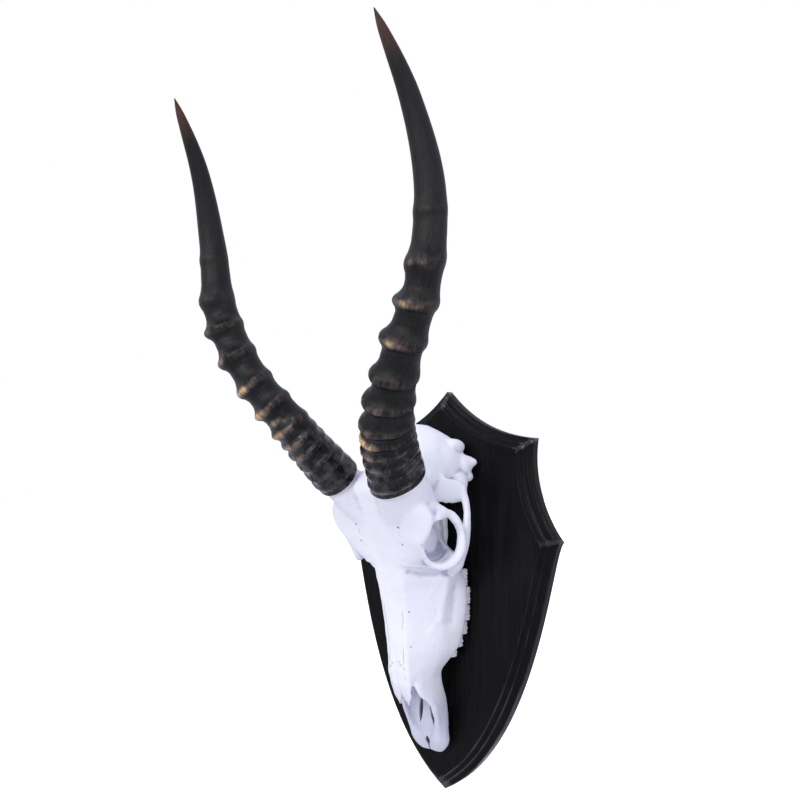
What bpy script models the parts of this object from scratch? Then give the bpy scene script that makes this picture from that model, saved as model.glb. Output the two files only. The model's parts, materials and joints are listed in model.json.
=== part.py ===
"""Blesbok skull with its ringed horns, fixed nose down on a wooden shield plaque.

Frame: the origin is on the plaque's back face at mid height, +Z is up, +Y points into
the wall, and +X is the viewer's right, which is the animal's left side.
Places on the skull are written in millimetres as (side, out, up): side is the distance
from the middle plane, out is the distance in front of the plaque's front face.
"""
import math

import bmesh
import bpy
import numpy as np
from mathutils import Matrix, Vector, geometry

MM = 0.001
GAP = 0.3

# The plaque: a shield with a stepped moulding, outline given for its right half as (side, up)
PLAQUE_THICK = 21.0
PLAQUE_RIM = 10.0
PLAQUE_PEAK = (0.0, 190.0)
PLAQUE_CORNER = (96.5, 144.0)
PLAQUE_EAR = (121.8, 50.8)
PLAQUE_POINT = (0.0, -190.0)
TOP_HANDLES = ((28.0, 158.5), (62.0, 146.0))
SIDE_HANDLES = ((91.0, 112.0), (101.0, 76.0))
BELLY_HANDLES = ((110.3, 46.6), (97.4, -135.4))
EDGE_STEPS = 7
BELLY_STEPS = 10
# Each moulding step goes inwards and forwards by these two amounts
MOULDING = ((1.0, 1.0), (4.0, 2.0), (0.5, 3.0), (4.5, 2.0), (1.0, 3.0))

# The skull's body: stations from the nose tip up to the crown. Each one is its height and
# half an outline of (side, out) points, from the middle of the forehead side, over the
# roof edge and the cheek, to the middle of the palate side
STATIONS = (
    (-147, ((0, 13), (4, 13.5), (8, 13), (11, 12), (12, 10.5), (10.5, 9), (7, 8), (3, 8), (0, 8.5))),
    (-143, ((0, 14.5), (5, 16.5), (9, 17.5), (13, 16), (15.5, 12.5), (15.5, 9), (12, 6.5), (6, 6), (0, 7))),
    (-136, ((0, 17), (6, 19.5), (11, 22), (15.5, 20.5), (18.5, 14), (18.6, 8.5), (15, 5.5), (6, 6), (0, 7.5))),
    (-128, ((0, 20), (6, 22.5), (12, 24), (17.2, 22.5), (19.2, 16), (18.6, 10), (15.2, 6.5), (7, 7), (0, 8.5))),
    (-119, ((0, 23), (6, 25), (12, 27), (18.3, 26), (19.6, 19), (18.8, 10.5), (15.3, 7.5), (7, 8.5), (0, 9.5))),
    (-108, ((0, 31), (6, 31), (12, 31), (19, 31), (19.8, 23), (18.5, 12.5), (15.3, 8), (7, 9.5), (0, 10.5))),
    (-95, ((0, 38), (6, 38), (12, 38.5), (18.5, 38.5), (19.3, 30), (17.7, 17), (15, 10), (7, 11), (0, 12))),
    (-88, ((0, 45), (6, 45), (11, 46.5), (16, 47.5), (17.3, 35), (16.8, 20), (15, 12.5), (8, 12.5), (0, 13.5))),
    (-80, ((0, 53), (6, 52.5), (10.5, 52.5), (14.5, 52), (16, 38), (16, 24), (14.5, 15), (8, 14), (0, 15))),
    (-70, ((0, 62.5), (10.5, 61.8), (13, 57), (15.5, 46), (17.5, 34), (17, 22), (15, 16), (8.5, 15), (0, 15.5))),
    (-60, ((0, 64.3), (10, 63.8), (13, 58), (18, 46), (22.5, 34), (23.5, 22), (22.5, 15), (15, 15), (0, 17.5))),
    (-50, ((0, 65), (10, 64.5), (13, 60.5), (19.5, 49), (26, 37), (29.5, 24), (30, 13), (20, 14), (0, 18.5))),
    (-35, ((0, 67), (10, 66.5), (13, 64), (20.5, 53), (29, 41), (33.5, 26), (35.5, 12), (25, 14), (0, 19.5))),
    (-20, ((0, 69), (9.5, 68.5), (13, 67), (21, 56), (31, 40), (35, 27), (38, 11), (27, 13), (0, 20))),
    (0, ((0, 72.3), (10, 72), (14, 71), (24, 56), (34.5, 39.5), (37, 28), (39.5, 11), (28, 13), (0, 20))),
    (15, ((0, 75.5), (10, 75.5), (15, 74.5), (26, 57), (37.5, 40), (39, 29), (38, 13), (28, 14), (0, 19))),
    (28, ((0, 79), (12, 79.5), (21, 76), (34, 62), (44, 46), (44, 32), (34, 20), (24, 16), (0, 17))),
    (40, ((0, 84), (18, 84), (32, 82.5), (43, 74), (51, 58), (50, 42), (34, 28), (16, 19), (0, 16))),
    (52, ((0, 89.5), (22, 88.5), (36, 88.5), (44, 87), (42.5, 76), (36, 56), (27.5, 32), (14, 18), (0, 15))),
    (63, ((0, 95), (22, 93), (40, 92.5), (52.5, 89.5), (49, 81), (33, 60), (26.5, 31), (13, 18), (0, 14))),
    (75, ((0, 101), (22, 99), (40, 98), (56, 92), (54, 84), (31, 64), (25, 40), (15, 18), (0, 13))),
    (88, ((0, 108), (20, 106), (36, 104), (49, 96), (48, 84), (32, 66), (29, 41), (11, 15), (0, 12))),
    (100, ((0, 113), (16, 111), (30, 106), (41, 94), (42, 82), (33, 62), (35, 32), (32, 11), (0, 9))),
    (112, ((0, 104), (12, 98.5), (22, 87), (31, 76), (36, 66), (37, 54), (39, 28), (37, 9), (0, 7))),
    (125, ((0, 94), (12, 91), (22, 82.5), (29.5, 72), (34, 60), (36, 46), (38, 26), (33, 7), (0, 5))),
    (138, ((0, 81), (10, 78.5), (17.5, 71), (24.5, 61), (28.5, 50.5), (30, 38), (31, 23), (25, 8), (0, 4))),
    (148, ((0, 70), (8, 69), (14, 64), (19, 57), (23, 47), (24, 36), (21, 25), (14, 15), (0, 11))),
    (155.5, ((0, 62), (5, 61), (9, 58), (12, 53), (13, 46), (12, 40), (9, 34), (5, 30), (0, 28))),
)
# The nasal bones: height, half width, top and drop of their side edges
NASALS = (
    (-97.0, 4.6, 52.4, 0.6),
    (-90.0, 5.2, 55.5, 1.2),
    (-85.0, 5.6, 58.0, 1.6),
    (-78.0, 5.9, 61.0, 2.0),
    (-68.0, 5.8, 63.2, 2.0),
    (-58.0, 5.4, 64.3, 2.0),
)
NASAL_MIDDLE = 5.5
NASAL_THICK = 3.0
# What is trimmed off the nasal bones' ends, seen from the front as (side, up): the cleft between
# their two points, and the slanting outer side of each point
NASAL_CLEFT = ((0, -85.8), (4.4, -94.2), (4.4, -99), (-4.4, -99), (-4.4, -94.2))
NASAL_SLANT = ((5.6, -94.2), (9.8, -87), (12.6, -80.5), (13.4, -76), (16, -76), (16, -99), (5.6, -99))
# The trimming is done between these distances out, in front of the rims of the nose
NASAL_TRIM_OUT = (53.0, 73.0)
RING_POINTS = 40
STATION_STEPS = 80

# The raised rim of the eye socket: places round it with the rim's thickness there
ORBIT_RIM = (
    ((46, 84, 57.5), 3.2),
    ((41.5, 79, 46), 3.6),
    ((41.5, 71, 35), 3.8),
    ((46.5, 64, 32), 4.0),
    ((51.5, 57.5, 33.5), 4.4),
    ((56, 51.5, 40), 4.6),
    ((58.5, 49, 50), 4.6),
    ((59, 51.5, 62), 4.0),
    ((57.5, 58, 73), 4.2),
    ((55.2, 67, 78), 3.8),
    ((54, 82, 73), 3.8),
)
# The hollow of the eye socket, cut across: distance sideways, middle (out, up) and half sizes
ORBIT_SCOOP = (
    (78.0, 70.0, 57.0, 26.0, 22.0),
    (60.0, 68.5, 57.5, 17.2, 16.6),
    (52.0, 67.5, 54.0, 19.5, 20.0),
    (45.0, 64.5, 51.0, 20.5, 17.5),
    (37.0, 59.5, 49.5, 18.5, 13.5),
    (30.0, 55.0, 50.0, 14.0, 11.5),
)
SCOOP_SIDES = 24

# The zygomatic arch: places along it with its half thickness sideways and half height
ARCH = (
    ((42, 42, 22), 4.0, 7.0),
    ((49, 42, 32), 4.5, 7.5),
    ((56, 43.5, 47), 3.8, 8.0),
    ((59, 43, 62), 3.2, 6.5),
    ((59, 41, 77), 2.7, 4.4),
    ((56, 39.5, 88), 3.0, 5.0),
    ((50, 36, 97), 3.5, 6.0),
    ((42, 27, 105), 5.0, 8.0),
    ((34, 20, 110), 6.0, 9.0),
)
# The web of bone between the braincase and the arch, behind the temporal window
WEB = (
    ((30, 54, 96), 2.6, 10.0),
    ((39, 48.5, 97), 3.2, 12.5),
    ((47, 42.5, 96), 3.2, 12.0),
    ((53, 38, 93), 3.4, 8.5),
)

# The hollow of the nose: height, half width, floor and top of each cut
NOSE_HOLLOW = (
    (-134.0, 2.5, 18.0, 45.0),
    (-128.0, 9.5, 18.3, 45.0),
    (-119.0, 14.4, 18.6, 45.0),
    (-108.0, 15.8, 19.2, 50.0),
    (-95.0, 14.8, 20.6, 51.0),
    (-88.0, 12.4, 21.6, 53.0),
    (-80.0, 11.0, 21.0, 55.5),
    (-70.0, 8.0, 23.0, 56.5),
    (-58.0, 5.0, 28.0, 55.0),
)
# Height of the ridge along the floor's middle, shares of the half width where the ridge and the
# flat floor end, and how far the floor curves up at its sides
NOSE_RIDGE = 1.2
NOSE_RIDGE_SHARE = 0.25
NOSE_FLAT_SHARE = 0.8
NOSE_CURVE = 4.0
# The two slits through the floor of the nose: distance from the middle at their lower and
# upper ends, half width, and heights of both ends
PALATE_SLIT = (7.8, 5.0, 1.9, -122.5, -96.5)
# A slit's outline, as places along it and shares of its half width
SLIT_SHAPE = ((0, 0), (0.3, 0.8), (0.6, 1), (0.85, 0.7), (1, 0), (0.85, -0.7), (0.6, -1), (0.3, -0.8))
# The split between the two halves of the snout's tip: heights with its half width, up to the
# small opening that it ends in
TIP_SPLIT = ((-150.0, 0.7), (-144.0, 0.7), (-140.8, 0.9), (-136.4, 2.6), (-132.7, 0.5))
# How far in front of the plaque the cuts through the palate reach
PALATE_REACH = 30.0
# Place and half sizes of the opening for the spinal cord
FORAMEN = ((0.0, 17.0, 152.0), (8.5, 8.5, 17.0))

# Knobs on both sides, each with its middle and half sizes: the two ends of the nape's crest, the
# hinge of the lower jaw, the ear capsule, the joint with the neck, and the root of the bar
# behind the eye socket
KNOBS = (
    ((28.5, 18, 136), (8, 15, 7)),
    ((35, 14, 117), (9, 10, 11)),
    ((39, 11, 108), (5, 7, 5)),
    ((19, 9, 108), (7, 6.5, 11)),
    ((10, 9, 139), (7, 7, 7.5)),
    ((42.5, 73, 84), (7.5, 9, 7.5)),
)
# Spurs on both sides, as places with their half thickness: the ear's tube and the spur beside
# the joint with the neck
EAR_TUBE = (((34, 12, 121), 8.0), ((41, 8, 121), 6.0), ((46.5, 6, 122), 2.0))
NECK_SPUR = (((27, 14, 134), 5.0), ((28, 7, 128), 4.0), ((29, 1.5, 121), 2.0))
# The thin wing behind the palate: places with its half height, and its half thickness
PALATE_WING = (((12, 14, 32), 8.0), ((12, 12, 52), 9.0), ((13, 11, 74), 5.0))
WING_THICK = 2.2

# The horns: places along the middle line of the animal's left horn, from base to tip
HORN_LINE = (
    (33.2, 107.0, 106.0),
    (53.0, 144.3, 150.2),
    (84.5, 169.9, 198.5),
    (112.7, 179.1, 253.6),
    (121.3, 183.6, 315.2),
    (117.9, 202.1, 374.9),
    (111.3, 234.9, 428.7),
)
# Mean width between the rings, at distances from the base
HORN_WIDTHS = ((0, 44.5), (30, 41), (50, 38.5), (78, 34.2), (100, 31.4), (126, 29.6), (156, 28.4), (184, 27.7),
               (210, 26.2), (240, 24), (270, 21.2), (300, 17.6), (330, 14), (354, 9.7), (368, 6), (379, 0.8))
# How much longer than its mean a section is along its long way, at distances from the base, and
# how far that way is turned from the front, towards the middle. Further up the ways change over
HORN_OVAL = ((0, 0.10), (50, 0.12), (90, 0.085), (126, 0.025), (156, -0.03), (184, -0.06), (220, -0.02),
             (260, 0.0), (379, 0.0))
HORN_OVAL_TURN = math.radians(-50.0)
# Distance of each ring's crest from the base, with how far it stands out at the front
HORN_RINGS = ((8, 1.6), (20, 1.8), (31, 2.2), (43, 3.0), (54, 2.8), (67, 4.4), (89.5, 5.8), (113.5, 5.8),
              (142.3, 6.6), (171.8, 6.2), (200.5, 3.8), (237, 1.0))
# Share of its height that a ring keeps at the rear, and the free length after the last ring
RING_REAR_SHARE = 0.12
LAST_RING_GAP = 26.0
# A ring's section: places from its crest, as shares of the gap to the next ring, with its height
RING_SHAPE = ((-0.3, 0.0), (-0.08, 0.85), (0.06, 1.0), (0.32, 0.12))
# Distances from the base of the rows of points above the last ring
SMOOTH_ROWS = (250, 272, 294, 314, 332, 346, 357, 366, 373, 379)
HORN_SIDES = 14
HORN_FRONT = (0.1, -1.0, 0.0)
# The base and the rings are tilted: they sit higher up on the outer rear side. The lift is for the
# whole row and fades out, and the tilt is given at distances from the base
HORN_LIFT = 3.0
HORN_LIFT_FADE = 70.0
HORN_TILT = ((0, 7.0), (30, 5.0), (60, 3.2), (200, 3.0), (260, 0.0), (379, 0.0))
HORN_TILT_WAY = (0.6, 0.8)

# The stump of bone under each horn: how far it goes into the horn's base, how much thinner it is,
# and the feet that it grows from, each with its size as a share of the top's
STUMP_TOP = 4.0
STUMP_INSET = 2.0
STUMP_FEET = (((28.5, 83.0, 85.0), 1.0), ((22.0, 86.0, 76.0), 0.7))
STUMP_STEPS = 6
# Depth of the seat that the horn's base leaves in the bone
SEAT_DEPTH = 12.0

# Upper cheek teeth: name, length along the jaw, distance from the middle, width, biting edge
TEETH = (
    ("premolar_2", 9.0, 23.3, 7.5, 8.5),
    ("premolar_3", 11.5, 26.8, 9.5, 5.0),
    ("premolar_4", 12.5, 29.4, 11.0, 2.4),
    ("molar_1", 15.0, 30.6, 12.5, 1.0),
    ("molar_2", 16.5, 31.0, 12.5, 1.0),
    ("molar_3", 16.5, 30.0, 11.5, 3.5),
)
TOOTH_ROW_START = -58.0
TOOTH_ROOT = 19.0
# Size of a tooth at its biting edge and at its root, as shares of its full size, and how far from
# the edge it has its full size
TOOTH_EDGE_SHARE = 0.9
TOOTH_ROOT_SHARE = 0.82
TOOTH_SHOULDER = 3.0
# Half of a tooth's outline: places along the jaw with the width there, as shares
TOOTH_LOBES = ((-1, 0.6), (-0.6, 1), (0, 0.82), (0.6, 1), (1, 0.6))
# How far the crowns lean outwards at the biting edge
TOOTH_LEAN = 0.4

SKULL_VOXEL = 2.0
# Share of the remeshed faces that the skull keeps
SKULL_KEEP = 0.056

# The screw through the plaque into the back of the skull: its place, radii, and the depths from
# the plaque's back face of its head's top, rim and neck, and of its point
SCREW_PLACE = (0.0, 118.0)
SCREW_SHANK = 2.4
SCREW_HEAD = 4.5
SCREW_SUNK = 0.5
SCREW_RIM = 1.0
SCREW_NECK = 4.0
SCREW_LENGTH = 40.0
SCREW_SIDES = 12


def place(side, out, up):
    """A point in metres from its distance sideways, out from the plaque's face, and up."""
    return Vector((side, -(PLAQUE_THICK + out), up)) * MM


def flow(keys, values, where):
    """Values of a smooth curve that passes through the given values at the given keys."""
    keys = np.asarray(keys, float)
    values = np.asarray(values, float)
    slopes = np.gradient(values, keys, axis=0)
    where = np.asarray(where, float)
    low = np.clip(np.searchsorted(keys, where, side="right") - 1, 0, len(keys) - 2)
    span = keys[low + 1] - keys[low]
    t = (where - keys[low]) / span
    shape = t.shape + (1,) * (values.ndim - 1)
    t = t.reshape(shape)
    span = span.reshape(shape)
    start = (2 * t**3 - 3 * t**2 + 1) * values[low] + (t**3 - 2 * t**2 + t) * span * slopes[low]
    end = (3 * t**2 - 2 * t**3) * values[low + 1] + (t**3 - t**2) * span * slopes[low + 1]
    return start + end


def around(points, count):
    """A closed smooth ring of count points through the given ones."""
    points = np.asarray(points, float)
    lead = 3
    wrapped = np.concatenate([points[-lead:], points, points[:lead + 1]])
    keys = np.arange(len(wrapped)) - lead
    return flow(keys, wrapped, np.linspace(0, len(points), count, endpoint=False))


def loft(bm, rings):
    """Bridge rings of points, given in order, into one closed skin with flat ends."""
    loops = []
    for ring in rings:
        verts = [bm.verts.new(point) for point in ring]
        loops.append([bm.edges.new(pair) for pair in zip(verts, verts[1:] + verts[:1])])
    for lower, upper in zip(loops, loops[1:]):
        bmesh.ops.bridge_loops(bm, edges=lower + upper)
    bmesh.ops.edgeloop_fill(bm, edges=loops[0])
    bmesh.ops.edgeloop_fill(bm, edges=loops[-1])


def sweep(bm, path, halves, sides=12, closed=False, upright=(0, 0, 1)):
    """Loft an oval along a path of points; halves gives its two half widths at each point."""
    path = [Vector(point) for point in path]
    rings = []
    for i, point in enumerate(path):
        before = path[i - 1] if closed or i else path[i]
        after = path[(i + 1) % len(path)] if closed or i + 1 < len(path) else path[i]
        along = (after - before).normalized()
        across = along.cross(Vector(upright)).normalized()
        over = across.cross(along)
        ring = []
        for k in range(sides):
            turn = math.tau * k / sides
            ring.append(point + across * halves[i][0] * math.cos(turn) + over * halves[i][1] * math.sin(turn))
        rings.append(ring)
    if not closed:
        loft(bm, rings)
        return
    loops = []
    for ring in rings:
        verts = [bm.verts.new(point) for point in ring]
        loops.append([bm.edges.new(pair) for pair in zip(verts, verts[1:] + verts[:1])])
    for i, lower in enumerate(loops):
        bmesh.ops.bridge_loops(bm, edges=lower + loops[(i + 1) % len(loops)])


def blob(bm, centre, halves, turn=0.0):
    """An egg shape; halves are its half sizes sideways, outwards and upwards."""
    size = Matrix.Diagonal(Vector(halves) * MM).to_4x4()
    matrix = Matrix.Translation(place(*centre)) @ Matrix.Rotation(math.radians(turn), 4, "Z") @ size
    bmesh.ops.create_icosphere(bm, subdivisions=3, radius=1.0, matrix=matrix)


def material(name, colour, roughness, metallic=0.0):
    finish = bpy.data.materials.new(name)
    finish.use_nodes = True
    shader = finish.node_tree.nodes["Principled BSDF"]
    shader.inputs["Base Color"].default_value = (*colour, 1.0)
    shader.inputs["Roughness"].default_value = roughness
    shader.inputs["Metallic"].default_value = metallic
    return finish


def finish_object(name, bm, finish=None, smooth_angle=None):
    """Turn a bmesh into a named object of the scene."""
    bmesh.ops.recalc_face_normals(bm, faces=bm.faces)
    mesh = bpy.data.meshes.new(name)
    bm.to_mesh(mesh)
    bm.free()
    if smooth_angle is not None:
        mesh.shade_smooth()
        mesh.set_sharp_from_angle(angle=math.radians(smooth_angle))
    obj = bpy.data.objects.new(name, mesh)
    bpy.context.collection.objects.link(obj)
    if finish:
        mesh.materials.append(finish)
    return obj


def cutter(name, bm):
    """An object that only cuts others."""
    obj = finish_object(name, bm)
    obj.hide_render = True
    obj.display_type = "WIRE"
    return obj


def cut(obj, tool):
    boolean = obj.modifiers.new(tool.name, "BOOLEAN")
    boolean.operation = "DIFFERENCE"
    boolean.solver = "EXACT"
    boolean.object = tool


def plaque_outline():
    """The shield's outline as (side, up) points, anticlockwise seen from the front."""
    legs = (
        (PLAQUE_POINT, *reversed(BELLY_HANDLES), PLAQUE_EAR, BELLY_STEPS),
        (PLAQUE_EAR, *reversed(SIDE_HANDLES), PLAQUE_CORNER, EDGE_STEPS),
        (PLAQUE_CORNER, *reversed(TOP_HANDLES), PLAQUE_PEAK, EDGE_STEPS),
    )
    right = []
    for start, handle_a, handle_b, end, steps in legs:
        corners = [Vector((*point, 0)) for point in (start, handle_a, handle_b, end)]
        points = geometry.interpolate_bezier(*corners, steps + 1)
        right += [(p.x, p.y) for p in points[:-1]]
    left = [(-side, up) for side, up in reversed(right[1:])]
    return right + [PLAQUE_PEAK] + left


def build_plaque():
    bm = bmesh.new()
    back = bm.faces.new([bm.verts.new(Vector((side, 0, up)) * MM) for side, up in plaque_outline()])
    grown = bmesh.ops.extrude_face_region(bm, geom=[back])["geom"]
    front = [item for item in grown if isinstance(item, bmesh.types.BMFace)]
    moved = [item for item in grown if isinstance(item, bmesh.types.BMVert)]
    bmesh.ops.translate(bm, verts=moved, vec=Vector((0, -PLAQUE_RIM, 0)) * MM)
    bmesh.ops.recalc_face_normals(bm, faces=bm.faces)
    for inwards, forwards in MOULDING:
        bmesh.ops.inset_region(bm, faces=front, thickness=inwards * MM, depth=forwards * MM,
                               use_even_offset=True, use_boundary=True)
    wood = material("black_stained_wood", (0.012, 0.011, 0.010), 0.38)
    return finish_object("shield_plaque", bm, wood, smooth_angle=20)


def horn_spine(where):
    """Points of the horn's middle line at distances in millimetres from its base."""
    points = np.array(HORN_LINE)
    steps = np.linalg.norm(np.diff(points, axis=0), axis=1)
    keys = np.concatenate([[0], np.cumsum(steps)]) * HORN_WIDTHS[-1][0] / steps.sum()
    return flow(keys, points, where)


def ring_gaps():
    """The free length from each ring's crest to the next."""
    crests = [crest for crest, rise in HORN_RINGS]
    return np.diff(crests + [crests[-1] + LAST_RING_GAP])


def ring_relief(distance):
    """How far the horn's rings stand out at a distance from the base, in millimetres."""
    relief = 0.0
    for (crest, rise), gap in zip(HORN_RINGS, ring_gaps()):
        for (low, weight), (high, other) in zip(RING_SHAPE, RING_SHAPE[1:] + ((1.0, 0.0),)):
            start = crest + low * gap
            end = crest + high * gap
            if start <= distance < end:
                blend = (distance - start) / (end - start)
                relief = max(relief, rise * (weight + (other - weight) * blend))
    return relief


def horn_rows():
    """Distances from the base at which the horn has a ring of points."""
    rows = [0.0]
    for (crest, rise), gap in zip(HORN_RINGS, ring_gaps()):
        rows += [crest + low * gap for low, weight in RING_SHAPE]
    return rows + list(SMOOTH_ROWS)


def horn_rings(side, rows, extra=0.0):
    """Rings of points round the horn; its crests stand out most at the front."""
    widths = flow(*zip(*HORN_WIDTHS), rows)
    ovals = np.interp(rows, *zip(*HORN_OVAL))
    tilts = np.interp(rows, *zip(*HORN_TILT))
    spine = [place(*point) for point in horn_spine(rows)]
    rings = []
    for i, row in enumerate(rows):
        before = spine[max(i - 1, 0)]
        after = spine[min(i + 1, len(spine) - 1)]
        along = (after - before).normalized()
        front = Vector(HORN_FRONT)
        front = (front - along * front.dot(along)).normalized()
        across = along.cross(front)
        ring = []
        for k in range(HORN_SIDES):
            turn = math.tau * k / HORN_SIDES
            share = RING_REAR_SHARE + (1.0 - RING_REAR_SHARE) * (0.5 + 0.5 * math.cos(turn))
            oval = 1.0 + ovals[i] * math.cos(2 * (turn - HORN_OVAL_TURN))
            radius = widths[i] / 2 * oval + extra + ring_relief(row) * share
            spoke = front * math.cos(turn) + across * math.sin(turn)
            rearwards = spoke.x * HORN_TILT_WAY[0] + spoke.y * HORN_TILT_WAY[1]
            lift = HORN_LIFT * max(0.0, 1.0 - row / HORN_LIFT_FADE) + tilts[i] * rearwards
            point = spine[i] + (spoke * radius + along * lift) * MM
            ring.append(Vector((point.x * side, point.y, point.z)))
        rings.append(ring)
    return rings


def build_horn(side, name, finish):
    bm = bmesh.new()
    loft(bm, horn_rings(side, horn_rows()))
    return finish_object(name, bm, finish, smooth_angle=50)


def horn_seat(side, name):
    """The shallow seat that the horn's base leaves in the bone."""
    bm = bmesh.new()
    rings = horn_rings(side, [0.0, SEAT_DEPTH], extra=GAP)
    axis = (Vector(rings[1][0]) - Vector(rings[0][0])).normalized()
    lowered = [point - axis * GAP * MM for point in rings[0]]
    loft(bm, [lowered, rings[1]])
    return cutter(name, bm)


def tooth_span(index):
    start = TOOTH_ROW_START + sum(tooth[1] for tooth in TEETH[:index])
    return start, start + TEETH[index][1]


def tooth_outline(index, grow):
    """A cheek tooth seen along its root: two lobes on the outer and the inner side."""
    name, length, middle, width, edge = TEETH[index]
    low, high = tooth_span(index)
    half_length = length / 2 - GAP / 2 + grow
    half_width = width / 2 + grow
    centre = (low + high) / 2
    outer = [(middle + half_width * w, centre + half_length * t) for t, w in TOOTH_LOBES]
    inner = [(middle - half_width * w, centre + half_length * t) for t, w in reversed(TOOTH_LOBES)]
    return outer + inner


def tooth_solid(bm, side, index, grow=0.0, deeper=0.0):
    edge = TEETH[index][4]
    levels = (
        (edge - grow, TOOTH_EDGE_SHARE),
        (edge + TOOTH_SHOULDER, 1.0),
        (TOOTH_ROOT + deeper, TOOTH_ROOT_SHARE),
    )
    rings = []
    for out, scale in levels:
        outline = tooth_outline(index, grow)
        middle = TEETH[index][2]
        leant = middle + TOOTH_LEAN * (TOOTH_ROOT - out) / (TOOTH_ROOT - edge)
        centre = sum(tooth_span(index)) / 2
        rings.append([place(side * (leant + (x - middle) * scale), out, centre + (z - centre) * scale)
                      for x, z in outline])
    loft(bm, rings)


def build_teeth(finish):
    teeth = []
    for side, word in ((1, "left"), (-1, "right")):
        for index, tooth in enumerate(TEETH):
            bm = bmesh.new()
            tooth_solid(bm, side, index)
            teeth.append(finish_object(f"{tooth[0]}_{word}", bm, finish, smooth_angle=30))
    return teeth


def tooth_sockets():
    bm = bmesh.new()
    for side in (1, -1):
        for index in range(len(TEETH)):
            tooth_solid(bm, side, index, grow=GAP, deeper=GAP)
    return cutter("tooth_sockets", bm)


def add_body(bm):
    """The skull's long body, lofted through its stations."""
    heights = [height for height, outline in STATIONS]
    outlines = []
    for height, half in STATIONS:
        other = [(-side, out) for side, out in reversed(half[1:-1])]
        outlines.append(around(list(half) + other, RING_POINTS))
    levels = np.linspace(heights[0], heights[-1], STATION_STEPS)
    rows = flow(heights, outlines, levels)
    loft(bm, [[place(side, out, level) for side, out in row] for row, level in zip(rows, levels)])


def add_orbit_rim(bm, side):
    places = around([p for p, thick in ORBIT_RIM], 32)
    thicks = around([(thick,) for p, thick in ORBIT_RIM], 32)
    path = [place(side * x, out, up) for x, out, up in places]
    middle = sum(path, Vector()) / len(path)
    normal = (path[8] - middle).cross(path[0] - middle)
    sweep(bm, path, [(thick[0] * MM,) * 2 for thick in thicks], closed=True, upright=normal)


def add_arch(bm, side):
    keys = range(len(ARCH))
    where = np.linspace(0, len(ARCH) - 1, 30)
    places = flow(keys, [p for p, thick, tall in ARCH], where)
    halves = flow(keys, [(thick, tall) for p, thick, tall in ARCH], where)
    path = [place(side * x, out, up) for x, out, up in places]
    sweep(bm, path, [(thick * MM, tall * MM) for thick, tall in halves], upright=(0, 1, 0))


def add_pedicel(bm, side):
    """The stump of bone that carries the horn; it shares the outline of the horn's base."""
    top = horn_rings(side, [0.0, STUMP_TOP], extra=-STUMP_INSET)[-1]
    centre = sum(top, Vector()) / len(top)
    for (across, out, up), share in STUMP_FEET:
        foot = place(side * across, out, up)
        rings = []
        for step in range(STUMP_STEPS + 1):
            t = step / STUMP_STEPS
            middle = foot.lerp(centre, t)
            rings.append([middle + (point - centre) * (share + (1 - share) * t) for point in top])
        loft(bm, rings)


def add_base(bm, side):
    """The knobs, spurs and wings of the skull's back and base."""
    for (across, out, up), halves in KNOBS:
        blob(bm, (side * across, out, up), halves)
    for spur, upright in ((EAR_TUBE, (0, 0, 1)), (NECK_SPUR, (1, 0, 0))):
        path = [place(side * across, out, up) for (across, out, up), half in spur]
        sweep(bm, path, [(half * MM, half * MM) for where, half in spur], upright=upright)
    path = [place(side * across, out, up) for (across, out, up), half in PALATE_WING]
    sweep(bm, path, [(WING_THICK * MM, half * MM) for where, half in PALATE_WING], upright=(0, 1, 0))


def add_nasal(bm, side):
    """One of the two nasal bones, a thin arched plate with a free pointed end."""
    heights = [row[0] for row in NASALS]
    levels = np.linspace(heights[0], heights[-1], 16)
    rings = []
    for level, (half, top, drop) in zip(levels, flow(heights, [row[1:] for row in NASALS], levels)):
        outer = [(NASAL_MIDDLE - half, top), (NASAL_MIDDLE, top), (NASAL_MIDDLE + half, top - drop)]
        inner = [(x, out - NASAL_THICK) for x, out in reversed(outer)]
        rings.append([place(side * x, out, level) for x, out in outer + inner])
    loft(bm, rings)


def add_web(bm, side):
    path = [place(side * x, out, up) for (x, out, up), thick, tall in WEB]
    sweep(bm, path, [(thick * MM, tall * MM) for where, thick, tall in WEB], upright=(0, 0, 1))


def one_skin(obj, name):
    """Give an object's crossing shapes one even skin."""
    remesh = obj.modifiers.new(name, "REMESH")
    remesh.mode = "VOXEL"
    remesh.voxel_size = SKULL_VOXEL * MM


def build_skull(finish):
    bm = bmesh.new()
    add_body(bm)
    for side in (1, -1):
        add_orbit_rim(bm, side)
        add_arch(bm, side)
        add_web(bm, side)
        add_nasal(bm, side)
        add_pedicel(bm, side)
        add_base(bm, side)
    skull = finish_object("skull", bm, finish)
    one_skin(skull, "one_skin")
    return skull


def orbit_cutter(side, name):
    """The cup of an eye socket, which ends in a flat inner wall."""
    bm = bmesh.new()
    rings = []
    for across, out, up, half_out, half_up in ORBIT_SCOOP:
        turns = [math.tau * k / SCOOP_SIDES for k in range(SCOOP_SIDES)]
        rings.append([place(side * across, out + half_out * math.cos(turn), up + half_up * math.sin(turn))
                      for turn in turns])
    loft(bm, rings)
    return cutter(name, bm)


def nose_cutter(name, rows):
    """A hollow with a low ridge along the middle of its floor."""
    bm = bmesh.new()
    rings = []
    for up, half, floor, top in rows:
        flat = [(half * NOSE_RIDGE_SHARE, floor), (half * NOSE_FLAT_SHARE, floor)]
        right = flat + [(half, floor + NOSE_CURVE), (half, top)]
        left = [(-side, out) for side, out in reversed(right)]
        middle = [(0, floor + NOSE_RIDGE)]
        rings.append([place(side, out, up) for side, out in middle + right + left])
    loft(bm, rings)
    return cutter(name, bm)


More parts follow.
